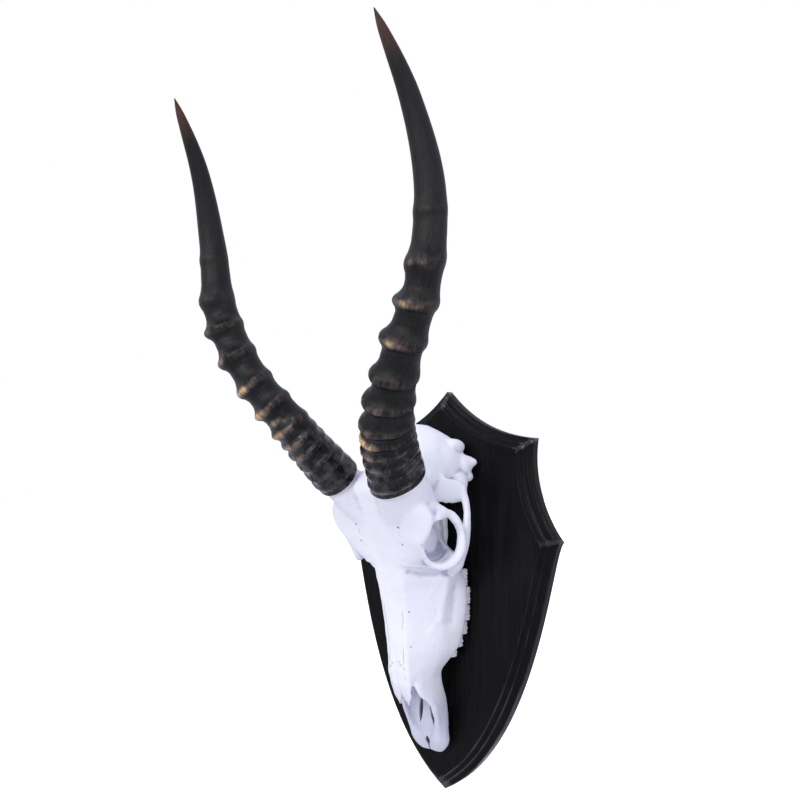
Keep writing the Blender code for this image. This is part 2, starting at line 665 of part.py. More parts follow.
def slit_cutter(side, name):
    """A slim pointed opening through the floor of the nose."""
    low_side, high_side, half, low, high = PALATE_SLIT
    bm = bmesh.new()
    rings = []
    for out in (0.0, PALATE_REACH):
        middles = [low_side + (high_side - low_side) * t for t, w in SLIT_SHAPE]
        rings.append([place(side * (middle + half * w), out, low + (high - low) * t)
                      for middle, (t, w) in zip(middles, SLIT_SHAPE)])
    loft(bm, rings)
    return cutter(name, bm)


def split_cutter():
    """The split that runs up from the snout's tip and ends in a small opening."""
    outline = [(half, up) for up, half in TIP_SPLIT] + [(-half, up) for up, half in reversed(TIP_SPLIT)]
    bm = bmesh.new()
    loft(bm, [[place(side, out, up) for side, up in outline] for out in (0.0, PALATE_REACH)])
    return cutter("tip_split", bm)


def nasal_cutter():
    """What is trimmed off the ends of the nasal bones to leave their two points."""
    bm = bmesh.new()
    right = [(-side, up) for side, up in reversed(NASAL_SLANT)]
    for outline in (NASAL_CLEFT, NASAL_SLANT, right):
        loft(bm, [[place(side, out, up) for side, up in outline] for out in NASAL_TRIM_OUT])
    return cutter("nasal_trim", bm)


def foramen_cutter():
    """The opening for the spinal cord, between the condyles."""
    bm = bmesh.new()
    blob(bm, *FORAMEN)
    return cutter("foramen_magnum", bm)


def build_screw(plaque, skull):
    """A countersunk screw that holds the skull from the back of the plaque."""
    steel = material("zinc_plated_steel", (0.55, 0.55, 0.56), 0.35, 1.0)
    for name, grow in (("mounting_screw", 0.0), ("screw_hole", GAP)):
        bm = bmesh.new()
        head = SCREW_HEAD + grow
        shank = SCREW_SHANK + grow
        top = -SCREW_SUNK if grow else SCREW_SUNK
        rings = []
        profile = ((head, top), (head, SCREW_RIM), (shank, SCREW_NECK), (shank, SCREW_LENGTH + grow))
        for radius, depth in profile:
            ring = []
            for k in range(SCREW_SIDES):
                turn = math.tau * k / SCREW_SIDES
                side = SCREW_PLACE[0] + radius * math.cos(turn)
                up = SCREW_PLACE[1] + radius * math.sin(turn)
                ring.append(Vector((side, -depth, up)) * MM)
            rings.append(ring)
        loft(bm, rings)
        if grow:
            hole = cutter(name, bm)
            cut(plaque, hole)
            cut(skull, hole)
        else:
            finish_object(name, bm, steel, smooth_angle=30)


def main():
    for obj in list(bpy.data.objects):
        bpy.data.objects.remove(obj)
    bone = material("bleached_bone", (0.86, 0.86, 0.90), 0.55)
    enamel = material("tooth_enamel", (0.84, 0.83, 0.84), 0.4)
    keratin = material("black_horn", (0.022, 0.019, 0.018), 0.35)
    plaque = build_plaque()
    skull = build_skull(bone)
    for side, word in ((1, "left"), (-1, "right")):
        cut(skull, orbit_cutter(side, f"orbit_{word}"))
    cut(skull, nose_cutter("nose_hollow", NOSE_HOLLOW))
    cut(skull, foramen_cutter())
    one_skin(skull, "skin_after_cuts")
    smooth = skull.modifiers.new("soften", "SMOOTH")
    smooth.factor = 0.5
    smooth.iterations = 4
    fewer = skull.modifiers.new("fewer_faces", "DECIMATE")
    fewer.ratio = SKULL_KEEP
    for side, word in ((1, "left"), (-1, "right")):
        cut(skull, horn_seat(side, f"horn_seat_{word}"))
        cut(skull, slit_cutter(side, f"palate_slit_{word}"))
        build_horn(side, f"horn_{word}", keratin)
    cut(skull, split_cutter())
    cut(skull, nasal_cutter())
    cut(skull, tooth_sockets())
    build_teeth(enamel)
    build_screw(plaque, skull)


main()
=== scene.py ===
# %% [markdown]
# # A blesbok skull on a shield plaque
# A bleached antelope skull hangs nose down on a black wooden shield. This lesson dresses the
# finished solids: it models the bone, the ringed horns, the cheek teeth and the carved plaque
# again with finer meshes, and gives each of them a material made of nodes. The solids are
# loaded first, because every new piece has to sit where its solid sits.

# %% Load the solids
import json
import math
import random

import bmesh
import bpy
import numpy as np
from mathutils import Matrix, Vector, geometry, noise

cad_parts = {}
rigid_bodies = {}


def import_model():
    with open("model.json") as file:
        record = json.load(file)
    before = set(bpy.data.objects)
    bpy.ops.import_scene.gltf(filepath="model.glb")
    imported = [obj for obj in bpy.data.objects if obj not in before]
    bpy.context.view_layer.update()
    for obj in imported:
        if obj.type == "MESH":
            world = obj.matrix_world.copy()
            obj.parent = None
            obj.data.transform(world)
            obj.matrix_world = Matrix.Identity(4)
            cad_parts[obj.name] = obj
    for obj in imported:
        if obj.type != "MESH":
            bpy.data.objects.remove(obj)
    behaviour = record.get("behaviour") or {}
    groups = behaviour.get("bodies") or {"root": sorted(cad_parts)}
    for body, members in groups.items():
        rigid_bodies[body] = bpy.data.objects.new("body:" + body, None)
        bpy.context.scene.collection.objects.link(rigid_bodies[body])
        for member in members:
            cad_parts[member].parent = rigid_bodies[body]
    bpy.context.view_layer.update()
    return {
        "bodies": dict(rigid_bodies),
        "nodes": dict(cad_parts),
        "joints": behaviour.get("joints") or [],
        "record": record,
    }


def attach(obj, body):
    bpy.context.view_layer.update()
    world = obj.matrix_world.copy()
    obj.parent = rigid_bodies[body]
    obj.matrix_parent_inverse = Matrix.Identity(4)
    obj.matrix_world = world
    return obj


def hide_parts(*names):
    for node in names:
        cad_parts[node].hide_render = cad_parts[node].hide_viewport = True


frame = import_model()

# %% [markdown]
# ## Places on the skull
# A skull has no straight edge to measure from, so places on it are written in millimetres as
# (side, out, up): side is the distance from the middle plane, out is the distance in front of
# the plaque's face, and up is the height. One function turns such a place into metres.

# %% Places in millimetres
MM = 0.001
# The gap that touching pieces keep
GAP = 0.3
PLAQUE_THICK = 21.0


def place(side, out, up):
    """A point in metres from its distance sideways, out from the plaque's face, and up."""
    return Vector((side, -(PLAQUE_THICK + out), up)) * MM


print("the plaque's face is at", round(place(0, 0, 0).y, 4), "m")

# %% Smooth curves through given values
def flow(keys, values, where):
    """Values of a smooth curve that passes through the given values at the given keys."""
    keys = np.asarray(keys, float)
    values = np.asarray(values, float)
    slopes = np.gradient(values, keys, axis=0)
    where = np.asarray(where, float)
    low = np.clip(np.searchsorted(keys, where, side="right") - 1, 0, len(keys) - 2)
    span = keys[low + 1] - keys[low]
    t = (where - keys[low]) / span
    shape = t.shape + (1,) * (values.ndim - 1)
    t = t.reshape(shape)
    span = span.reshape(shape)
    start = (2 * t**3 - 3 * t**2 + 1) * values[low] + (t**3 - 2 * t**2 + t) * span * slopes[low]
    end = (3 * t**2 - 2 * t**3) * values[low + 1] + (t**3 - t**2) * span * slopes[low + 1]
    return start + end


def around(points, count):
    """A closed smooth ring of count points through the given ones."""
    points = np.asarray(points, float)
    lead = 3
    wrapped = np.concatenate([points[-lead:], points, points[:lead + 1]])
    keys = np.arange(len(wrapped)) - lead
    return flow(keys, wrapped, np.linspace(0, len(points), count, endpoint=False))


def evenly(rows, count):
    """Count rows of values, at even steps along a smooth curve through the given ones."""
    return flow(range(len(rows)), rows, np.linspace(0, len(rows) - 1, count))


def mirrored(points):
    """The other half of an outline, in the order that goes on from the given half's end."""
    return [(-side, other) for side, other in reversed(points)]


print("halfway between 0 and 1:", flow((0, 1), (0, 1), 0.5))

# %% Finished objects
def finish_object(name, bm):
    """Turn a bmesh into a named object whose faces point outwards."""
    bmesh.ops.recalc_face_normals(bm, faces=bm.faces)
    mesh = bpy.data.meshes.new(name)
    bm.to_mesh(mesh)
    bm.free()
    obj = bpy.data.objects.new(name, mesh)
    bpy.context.collection.objects.link(obj)
    return obj


def shade(obj, sharp_angle):
    """Smooth shading that keeps the edges sharper than an angle in degrees."""
    obj.data.shade_smooth()
    obj.data.set_sharp_from_angle(angle=math.radians(sharp_angle))


# %% [markdown]
# ## Lofting
# Bone, horn and tooth are all skins over rings of points. A loft makes each ring from a few
# vertices and lets bridge_loops stretch the skin between neighbours. A sweep is a loft whose
# rings are ovals carried along a path, and a blob is an egg: good for knuckles of bone.

# %% Loft, sweep and blob
BLOB_ROUNDS = 3


def ring_of_edges(bm, ring):
    verts = [bm.verts.new(point) for point in ring]
    return [bm.edges.new(pair) for pair in zip(verts, verts[1:] + verts[:1])]


def loft(bm, rings, closed=False):
    """Bridge rings of points, given in order; the ends are filled unless the loft is closed."""
    loops = [ring_of_edges(bm, ring) for ring in rings]
    for lower, upper in zip(loops, loops[1:]):
        bmesh.ops.bridge_loops(bm, edges=lower + upper)
    if closed:
        bmesh.ops.bridge_loops(bm, edges=loops[-1] + loops[0])
        return
    bmesh.ops.edgeloop_fill(bm, edges=loops[0])
    bmesh.ops.edgeloop_fill(bm, edges=loops[-1])


def sweep(bm, path, halves, sides=16, closed=False, upright=(0, 0, 1)):
    """Loft an oval along a path of points; halves gives its two half widths at each point."""
    path = [Vector(point) for point in path]
    rings = []
    for i, point in enumerate(path):
        before = path[i - 1] if closed or i else path[i]
        after = path[(i + 1) % len(path)] if closed or i + 1 < len(path) else path[i]
        along = (after - before).normalized()
        across = along.cross(Vector(upright)).normalized()
        over = across.cross(along)
        ring = []
        for k in range(sides):
            turn = math.tau * k / sides
            wide = across * halves[i][0] * math.cos(turn)
            tall = over * halves[i][1] * math.sin(turn)
            ring.append(point + wide + tall)
        rings.append(ring)
    loft(bm, rings, closed)


def blob(bm, centre, halves):
    """An egg shape; halves are its half sizes sideways, outwards and upwards."""
    matrix = Matrix.Translation(place(*centre)) @ Matrix.Diagonal(Vector(halves) * MM).to_4x4()
    bmesh.ops.create_icosphere(bm, subdivisions=BLOB_ROUNDS, radius=1.0, matrix=matrix)


print("one loft makes every long shape, one blob every knob")

# %% Cutting
def cutter(name, bm):
    """An object that only cuts others; it is deleted when the cutting is done."""
    obj = finish_object(name, bm)
    obj.hide_render = True
    obj.display_type = "WIRE"
    return obj


def lofted_cutter(name, shapes):
    """A cutter of one or more lofts, each given as its rings."""
    bm = bmesh.new()
    for rings in shapes:
        loft(bm, rings)
    return cutter(name, bm)


def cut(obj, tool, crossing=False):
    """Cut a tool out of an object; crossing is for a tool whose own shapes overlap."""
    boolean = obj.modifiers.new(tool.name, "BOOLEAN")
    boolean.operation = "DIFFERENCE"
    boolean.solver = "EXACT"
    boolean.use_self = crossing
    boolean.object = tool


def settle(obj, tools=()):
    """Replace an object's mesh by what its modifiers make of it, and delete the cutters."""
    bpy.context.view_layer.update()
    graph = bpy.context.evaluated_depsgraph_get()
    mesh = bpy.data.meshes.new_from_object(obj.evaluated_get(graph))
    obj.modifiers.clear()
    old = obj.data
    obj.data = mesh
    bpy.data.meshes.remove(old)
    mesh.name = obj.name
    for tool in tools:
        bpy.data.objects.remove(tool)


print("ready to model")

# %% [markdown]
# ## The skull's body
# The long body is lofted through cross sections that run from the snout's tip up to the
# crown. Each section lists half an outline, from the middle of the forehead side, over the
# edge of the roof and the cheek, to the middle of the palate.

# %% Sections of the body
# Each section's height, and half its outline as (side, out)
STATIONS = (
    (-147, (0, 13), (4, 13.5), (8, 13), (11, 12), (12, 10.5), (10.5, 9), (7, 8), (3, 8), (0, 8.5)),
    (-143, (0, 14.5), (5, 16.5), (9, 17.5), (13, 16), (15.5, 12.5), (15.5, 9), (12, 6.5), (6, 6), (0, 7)),
    (-136, (0, 17), (6, 19.5), (11, 22), (15.5, 20.5), (18.5, 14), (18.6, 8.5), (15, 5.5), (6, 6), (0, 7.5)),
    (-128, (0, 20), (6, 22.5), (12, 24), (17.2, 22.5), (19.2, 16), (18.6, 10), (15.2, 6.5), (7, 7), (0, 8.5)),
    (-119, (0, 23), (6, 25), (12, 27), (18.3, 26), (19.6, 19), (18.8, 10.5), (15.3, 7.5), (7, 8.5), (0, 9.5)),
    (-108, (0, 31), (6, 31), (12, 31), (19, 31), (19.8, 23), (18.5, 12.5), (15.3, 8), (7, 9.5), (0, 10.5)),
    (-95, (0, 38), (6, 38), (12, 38.5), (18.5, 38.5), (19.3, 30), (17.7, 17), (15, 10), (7, 11), (0, 12)),
    (-88, (0, 45), (6, 45), (11, 46.5), (16, 47.5), (17.3, 35), (16.8, 20), (15, 12.5), (8, 12.5), (0, 13.5)),
    (-80, (0, 53), (6, 52.5), (10.5, 52.5), (14.5, 52), (16, 38), (16, 24), (14.5, 15), (8, 14), (0, 15)),
    (-70, (0, 62.5), (10.5, 61.8), (13, 57), (15.5, 46), (17.5, 34), (17, 22), (15, 16), (8.5, 15),
     (0, 15.5)),
    (-60, (0, 64.3), (10, 63.8), (13, 58), (18, 46), (22.5, 34), (23.5, 22), (22.5, 15), (15, 15), (0, 17.5)),
    (-50, (0, 65), (10, 64.5), (13, 60.5), (19.5, 49), (26, 37), (29.5, 24), (30, 13), (20, 14), (0, 18.5)),
    (-35, (0, 67), (10, 66.5), (13, 64), (20.5, 53), (29, 41), (33.5, 26), (35.5, 12), (25, 14), (0, 19.5)),
    (-20, (0, 69), (9.5, 68.5), (13, 67), (21, 56), (31, 40), (35, 27), (38, 11), (27, 13), (0, 20)),
    (0, (0, 72.3), (10, 72), (14, 71), (24, 56), (34.5, 39.5), (37, 28), (39.5, 11), (28, 13), (0, 20)),
    (15, (0, 75.5), (10, 75.5), (15, 74.5), (26, 57), (37.5, 40), (39, 29), (38, 13), (28, 14), (0, 19)),
    (28, (0, 79), (12, 79.5), (21, 76), (34, 62), (44, 46), (44, 32), (34, 20), (24, 16), (0, 17)),
    (40, (0, 84), (18, 84), (32, 82.5), (43, 74), (51, 58), (50, 42), (34, 28), (16, 19), (0, 16)),
    (52, (0, 89.5), (22, 88.5), (36, 88.5), (44, 87), (42.5, 76), (36, 56), (27.5, 32), (14, 18), (0, 15)),
    (63, (0, 95), (22, 93), (40, 92.5), (52.5, 89.5), (49, 81), (33, 60), (26.5, 31), (13, 18), (0, 14)),
    (75, (0, 101), (22, 99), (40, 98), (56, 92), (54, 84), (31, 64), (25, 40), (15, 18), (0, 13)),
    (88, (0, 108), (20, 106), (36, 104), (49, 96), (48, 84), (32, 66), (29, 41), (11, 15), (0, 12)),
    (100, (0, 113), (16, 111), (30, 106), (41, 94), (42, 82), (33, 62), (35, 32), (32, 11), (0, 9)),
    (112, (0, 104), (12, 98.5), (22, 87), (31, 76), (36, 66), (37, 54), (39, 28), (37, 9), (0, 7)),
    (125, (0, 94), (12, 91), (22, 82.5), (29.5, 72), (34, 60), (36, 46), (38, 26), (33, 7), (0, 5)),
    (138, (0, 81), (10, 78.5), (17.5, 71), (24.5, 61), (28.5, 50.5), (30, 38), (31, 23), (25, 8), (0, 4)),
    (148, (0, 70), (8, 69), (14, 64), (19, 57), (23, 47), (24, 36), (21, 25), (14, 15), (0, 11)),
    (155.5, (0, 62), (5, 61), (9, 58), (12, 53), (13, 46), (12, 40), (9, 34), (5, 30), (0, 28)),
)
RING_POINTS = 64
STATION_STEPS = 160


def section(points, up):
    """Places of a flat section at a height."""
    return [place(side, out, up) for side, out in points]


def add_body(bm):
    heights = [height for height, *half in STATIONS]
    outlines = [around(half + mirrored(half[1:-1]), RING_POINTS) for height, *half in STATIONS]
    levels = np.linspace(heights[0], heights[-1], STATION_STEPS)
    loft(bm, [section(row, level) for row, level in zip(flow(heights, outlines, levels), levels)])


print("sections:", len(STATIONS))

# %% [markdown]
# ## Rims, arches and knuckles
# The socket's rim is an oval swept round a closed path, and so is the cheek arch along an
# open one. The knobs of the skull's back are blobs. All of them cross the body, and a voxel
# remesh later gives the whole crossing heap one even skin, as clay would have.

# %% The eye sockets' rims
# Places round the raised rim of the eye socket, with the rim's half thickness there
ORBIT_RIM = (
    ((46, 84, 57.5), 3.2),
    ((41.5, 79, 46), 3.6),
    ((41.5, 71, 35), 3.8),
    ((46.5, 64, 32), 4.0),
    ((51.5, 57.5, 33.5), 4.4),
    ((56, 51.5, 40), 4.6),
    ((58.5, 49, 50), 4.6),
    ((59, 51.5, 62), 4.0),
    ((57.5, 58, 73), 4.2),
    ((55.2, 67, 78), 3.8),
    ((54, 82, 73), 3.8),
)
RIM_STEPS = 48


def add_orbit_rim(bm, side):
    places = around([where for where, half in ORBIT_RIM], RIM_STEPS)
    halves = around([(half,) for where, half in ORBIT_RIM], RIM_STEPS)
    path = [place(side * across, out, up) for across, out, up in places]
    middle = sum(path, Vector()) / len(path)
    normal = (path[RIM_STEPS // 4] - middle).cross(path[0] - middle)
    sweep(bm, path, [(half[0] * MM,) * 2 for half in halves], closed=True, upright=normal)


print("rim places:", len(ORBIT_RIM))

# %% The corner between brow and bar, and the web behind
# What fills the corner between the brow and the bar behind the socket: two rows of places, each
# place with its half thickness, and a knob
BROW = (
    (((47, 82, 87), 4.0), ((51, 77, 84.5), 3.6), ((54.5, 70, 80.5), 3.2), ((56, 64, 77), 3.0)),
    (((42, 86, 82), 5.5), ((47, 83, 80), 5.2), ((51, 77.5, 79), 4.6), ((54, 71, 78), 3.4)),
)
BROW_KNOB = ((48.5, 83.5, 83.5), (4.8, 5.5, 5.8))
# The web of bone between the braincase and the arch, behind the temporal window: places with
# both half thicknesses
WEB = (
    ((30, 54, 96), 2.6, 10.0),
    ((39, 48.5, 97), 3.2, 12.5),
    ((47, 42.5, 96), 3.2, 12.0),
    ((53, 38, 93), 3.4, 8.5),
)


def add_bar(bm, side, rows, upright=(0, 0, 1)):
    """Sweep an oval along places; each row is a place with its one or two half thicknesses."""
    path = [place(side * across, out, up) for (across, out, up), *halves in rows]
    sweep(bm, path, [(halves[0] * MM, halves[-1] * MM) for where, *halves in rows], upright=upright)


def add_knob(bm, side, knob):
    (across, out, up), halves = knob
    blob(bm, (side * across, out, up), halves)


print("bars on each side:", len(BROW) + 1)

# %% The cheek arches
# The zygomatic arch: places along it with its half thickness sideways and half height
ARCH = (
    ((42, 42, 22), 4.0, 7.0),
    ((49, 42, 32), 4.5, 7.5),
    ((56, 43.5, 47), 3.8, 8.0),
    ((59, 43, 62), 3.2, 6.5),
    ((59, 41, 77), 2.7, 4.4),
    ((56, 39.5, 88), 3.0, 5.0),
    ((50, 36, 97), 3.5, 6.0),
    ((42, 27, 105), 5.0, 8.0),
    ((34, 20, 110), 6.0, 9.0),
)
ARCH_STEPS = 44


def add_arch(bm, side):
    places = evenly([row[0] for row in ARCH], ARCH_STEPS)
    halves = evenly([row[1:] for row in ARCH], ARCH_STEPS)
    add_bar(bm, side, [(where, *half) for where, half in zip(places, halves)], (0, 1, 0))


print("arch places:", len(ARCH))

# %% The nasal bones
# Each row: height, half width, top, and drop of the side edges
NASALS = (
    (-97.0, 4.6, 52.4, 0.6),
    (-90.0, 5.2, 55.5, 1.2),
    (-85.0, 5.6, 58.0, 1.6),
    (-78.0, 5.9, 61.0, 2.0),
    (-68.0, 5.8, 63.2, 2.0),
    (-58.0, 5.4, 64.3, 2.0),
)
NASAL_MIDDLE = 5.5
NASAL_THICK = 3.0
NASAL_STEPS = 40
# Points across the bone, as shares of its half width, and how far it arches
NASAL_SHARES = (-1.0, -0.5, 0.0, 0.4, 0.75, 1.0)
NASAL_ARCH = 0.3


def add_nasal(bm, side):
    """One of the two nasal bones, a thin arched plate with a free pointed end."""
    heights = [row[0] for row in NASALS]
    levels = np.linspace(heights[0], heights[-1], NASAL_STEPS)
    rings = []
    for level, (half, top, drop) in zip(levels, flow(heights, [row[1:] for row in NASALS], levels)):
        outer = []
        for t in NASAL_SHARES:
            outer.append((NASAL_MIDDLE + half * t, top - drop * max(t, 0.0) ** 2 - NASAL_ARCH * t * t))
        inner = [(across, out - NASAL_THICK) for across, out in reversed(outer)]
        rings.append(section([(side * across, out) for across, out in outer + inner], level))
    loft(bm, rings)


print("nasal bones end at", NASALS[0][0], "mm")

# %% [markdown]
# ## Where the horns stand
# A horn isn't straight and isn't round, so a row of points on it needs its own directions:
# along the horn, to its front and across it. The stump of bone underneath has the same outline
# as the horn's first row, only a little smaller, so that the two always fit.

# %% The horns' rows
# The horns: places along the middle line of the animal's left horn, from base to tip
HORN_LINE = (
    (33.2, 107.0, 106.0),
    (53.0, 144.3, 150.2),
    (84.5, 169.9, 198.5),
    (112.7, 179.1, 253.6),
    (121.3, 183.6, 315.2),
    (117.9, 202.1, 374.9),
    (111.3, 234.9, 428.7),
)
# Mean width between the rings, at distances from the base, up to the horn's full length
HORN_WIDTHS = ((0, 44.5), (30, 41), (50, 38.5), (78, 34.2), (100, 31.4), (126, 29.6), (156, 28.4),
               (184, 27.7), (210, 26.2), (240, 24), (270, 21.2), (300, 17.6), (330, 14), (354, 9.7),
               (368, 6), (379, 0.8))
HORN_LENGTH = HORN_WIDTHS[-1][0]
# How much longer than its mean a section is along its long way, at distances from the base, and
# how far that way is turned from the front, towards the middle. Where it is negative, the section
# is longer the other way
HORN_OVAL = ((0, 0.10), (50, 0.12), (90, 0.085), (126, 0.025), (156, -0.03), (184, -0.06), (220, -0.02),
             (260, 0.0), (379, 0.0))
HORN_OVAL_TURN = math.radians(-50.0)
HORN_FRONT = (0.1, -1.0, 0.0)
# The base and the rings are tilted: they sit higher up on the outer rear side. The lift is for the
# whole row and fades out, and the tilt is given at distances from the base
HORN_LIFT = 3.0
HORN_LIFT_FADE = 70.0
HORN_TILT = ((0, 7.0), (30, 5.0), (60, 3.2), (200, 3.0), (260, 0.0), (379, 0.0))
HORN_TILT_WAY = (0.6, 0.8)
# Least radius, at the horn's tip
HORN_POINT = 0.2


def horn_spine(where):
    """Points of the horn's middle line at distances in millimetres from its base."""
    points = np.array(HORN_LINE)
    steps = np.linalg.norm(np.diff(points, axis=0), axis=1)
    keys = np.concatenate([[0], np.cumsum(steps)]) * HORN_LENGTH / steps.sum()
    return flow(keys, points, where)


def horn_frames(rows):
    """For each row its middle, its directions along, to the front and across, and its sizes."""
    spine = [place(*point) for point in horn_spine(rows)]
    widths = flow(*zip(*HORN_WIDTHS), rows)
    ovals = np.interp(rows, *zip(*HORN_OVAL))
    tilts = np.interp(rows, *zip(*HORN_TILT))
    frames = []
    for i, row in enumerate(rows):
        along = (spine[min(i + 1, len(spine) - 1)] - spine[max(i - 1, 0)]).normalized()
        front = Vector(HORN_FRONT)
        front = (front - along * front.dot(along)).normalized()
        lift = HORN_LIFT * max(0.0, 1.0 - row / HORN_LIFT_FADE)
        frames.append((spine[i], along, front, along.cross(front), widths[i] / 2, ovals[i], lift, tilts[i]))
    return frames


def horn_point(frame, side, turn, extra):
    """A point on the horn's skin, some millimetres further out than its plain section."""
    centre, along, front, across, half, oval, lift, tilt = frame
    radius = half * (1.0 + oval * math.cos(2 * (turn - HORN_OVAL_TURN))) + extra
    spoke = front * math.cos(turn) + across * math.sin(turn)
    rearwards = spoke.x * HORN_TILT_WAY[0] + spoke.y * HORN_TILT_WAY[1]
    point = centre + (spoke * max(radius, HORN_POINT) + along * (lift + tilt * rearwards)) * MM
    return Vector((point.x * side, point.y, point.z))


def plain_ring(rows, which, side, extra, sides):
    """One row of the horn without its rings, thicker by some millimetres."""
    frame = horn_frames(rows)[which]
    return [horn_point(frame, side, math.tau * k / sides, extra) for k in range(sides)]


print("horn length along its middle line:", HORN_LENGTH, "mm")

# %% Stumps, and the knobs at the skull's back
# Knobs on both sides, each with its middle and half sizes: the two ends of the nape's crest, the
# hinge of the lower jaw, the ear capsule, the joint with the neck, and the root of the bar
# behind the eye socket
KNOBS = (
    ((28.5, 18, 136), (8, 15, 7)),
    ((35, 14, 117), (9, 10, 11)),
    ((39, 11, 108), (5, 7, 5)),
    ((19, 9, 108), (7, 6.5, 11)),
    ((10, 9, 139), (7, 7, 7.5)),
    ((42.5, 73, 84), (7.5, 9, 7.5)),
)
# Spurs on both sides, as places with their half thickness: the ear's tube, the spur beside the
# joint with the neck, and the thin wing behind the palate, which has two of them
EAR_TUBE = (((34, 12, 121), 8.0), ((41, 8, 121), 6.0), ((46.5, 6, 122), 2.0))
NECK_SPUR = (((27, 14, 134), 5.0), ((28, 7, 128), 4.0), ((29, 1.5, 121), 2.0))
PALATE_WING = (((12, 14, 32), 2.2, 8.0), ((12, 12, 52), 2.2, 9.0), ((13, 11, 74), 2.2, 5.0))
# The stump of bone under each horn: how far it goes into the horn's base, how much thinner it is,
# and the feet that it grows from, each with its size as a share of the top's
STUMP_TOP = 4.0
STUMP_INSET = 2.0
STUMP_FEET = (((28.5, 83.0, 85.0), 1.0), ((22.0, 86.0, 76.0), 0.7))
STUMP_STEPS = 6
STUMP_SIDES = 32


def add_stump(bm, side):
    """The stump of bone that carries the horn; it shares the outline of the horn's base."""
    top = plain_ring([0.0, STUMP_TOP], 1, side, -STUMP_INSET, STUMP_SIDES)
    centre = sum(top, Vector()) / len(top)
    for (across, out, up), share in STUMP_FEET:
        foot = place(side * across, out, up)
        rings = []
        for step in range(STUMP_STEPS + 1):
            t = step / STUMP_STEPS
            middle = foot.lerp(centre, t)
            rings.append([middle + (point - centre) * (share + (1 - share) * t) for point in top])
        loft(bm, rings)


def add_base(bm, side):
    """The knobs, spurs and wings of the skull's back and base."""
    for knob in KNOBS:
        add_knob(bm, side, knob)
    add_bar(bm, side, EAR_TUBE)
    add_bar(bm, side, NECK_SPUR, (1, 0, 0))
    add_bar(bm, side, PALATE_WING, (0, 1, 0))


print("knobs on each side:", len(KNOBS))

# %% [markdown]
# ## One skin, then the hollows
# Two voxel remeshes with cuts between them give round, bone-like edges: the first joins the
# heap into one skin, the Booleans hollow out the eye sockets, the nose and the opening for the
# spinal cord, and the second wraps the result again before it is softened.

# %% The hollow of the nose
# Height, half width, floor and top of each section
NOSE_HOLLOW = (
    (-134.0, 2.5, 18.0, 45.0),
    (-128.0, 9.5, 18.3, 45.0),
    (-119.0, 14.4, 18.6, 45.0),
    (-108.0, 15.8, 19.2, 50.0),
    (-95.0, 14.8, 20.6, 51.0),
    (-88.0, 12.4, 21.6, 53.0),
    (-80.0, 11.0, 21.0, 55.5),
    (-70.0, 8.0, 23.0, 56.5),
    (-58.0, 5.0, 28.0, 55.0),
)
# Height of the ridge along the floor's middle, shares of the half width where the ridge and the
# flat floor end, and how far the floor curves up at its sides
NOSE_RIDGE = 1.2
NOSE_RIDGE_SHARE = 0.25
NOSE_FLAT_SHARE = 0.8
NOSE_CURVE = 4.0


def nose_cutter():
    """The nose's hollow, with a low ridge along the middle of its floor."""
    rings = []
    for up, half, floor, top in NOSE_HOLLOW:
        flat = [(half * NOSE_RIDGE_SHARE, floor), (half * NOSE_FLAT_SHARE, floor)]
        right = flat + [(half, floor + NOSE_CURVE), (half, top)]
        rings.append(section([(0, floor + NOSE_RIDGE)] + right + mirrored(right), up))
    return lofted_cutter("nose_hollow", [rings])


print("sections of the nose:", len(NOSE_HOLLOW))

# %% The hollow behind the palate
# Height, half width and depth of each section
PALATE_HOLLOW = ((-145.5, 2, 9.5), (-143, 3.5, 12.3), (-138, 6, 15.4), (-128, 9, 16.4), (-119, 11.5, 16.8),
                 (-108, 12.5, 17.6), (-95, 11.5, 18.8), (-85, 9, 19.2), (-70, 8, 19.2))
# The vault of a section: where its side ends, the corner above it, as a share of the half width,
# and how far the middle rises above the depth
PALATE_WALL_DROP = 4
PALATE_CORNER_SHARE, PALATE_CORNER_DROP = 0.8, 0.8
PALATE_CROWN = 0.3


def palate_cutter():
    """The hollow behind the palate, which leaves only a thin plate of bone there."""
    rings = []
    for up, half, depth in PALATE_HOLLOW:
        corner = (half * PALATE_CORNER_SHARE, depth - PALATE_CORNER_DROP)
        right = [(half, 0), (half, depth - PALATE_WALL_DROP), corner]
        rings.append(section(right + [(0, depth + PALATE_CROWN)] + mirrored(right), up))
    return lofted_cutter("palate_hollow", [rings])


print("sections of the palate:", len(PALATE_HOLLOW))

# %% The eye sockets and the opening for the spinal cord
# The hollow of the eye socket, cut across: distance sideways, middle (out, up) and half sizes
ORBIT_SCOOP = (
    (78.0, 70.0, 57.0, 26.0, 22.0),
    (60.0, 68.5, 57.5, 17.2, 16.6),
    (52.0, 67.5, 54.0, 19.5, 20.0),
    (45.0, 64.5, 51.0, 20.5, 17.5),
    (37.0, 59.5, 49.5, 18.5, 13.5),
    (30.0, 55.0, 50.0, 14.0, 11.5),
)
SCOOP_STEPS = 21
SCOOP_SIDES = 72
# Width of the lip that is left on the socket's edge until the last cuts, and how far from the
# skull's middle it begins
LIP = 1.6
LIP_FROM = 40.0
# Middle and half sizes of the opening for the spinal cord
FORAMEN = ((0.0, 17.0, 152.0), (8.5, 8.5, 17.0))


def scoop(side):
    """The rings of one eye socket, a cup that ends in a flat inner wall."""
    turns = [math.tau * k / SCOOP_SIDES for k in range(SCOOP_SIDES)]
    rings = []
    for across, out, up, half_out, half_up in evenly(ORBIT_SCOOP, SCOOP_STEPS):
        spare = LIP if across > LIP_FROM else 0.0
        rings.append([place(side * across, out + (half_out - spare) * math.cos(turn),
                            up + (half_up - spare) * math.sin(turn)) for turn in turns])
    return rings


def foramen_cutter():
    bm = bmesh.new()
    blob(bm, *FORAMEN)
    return cutter("foramen_magnum", bm)


print("rings of each socket:", len(scoop(1)))

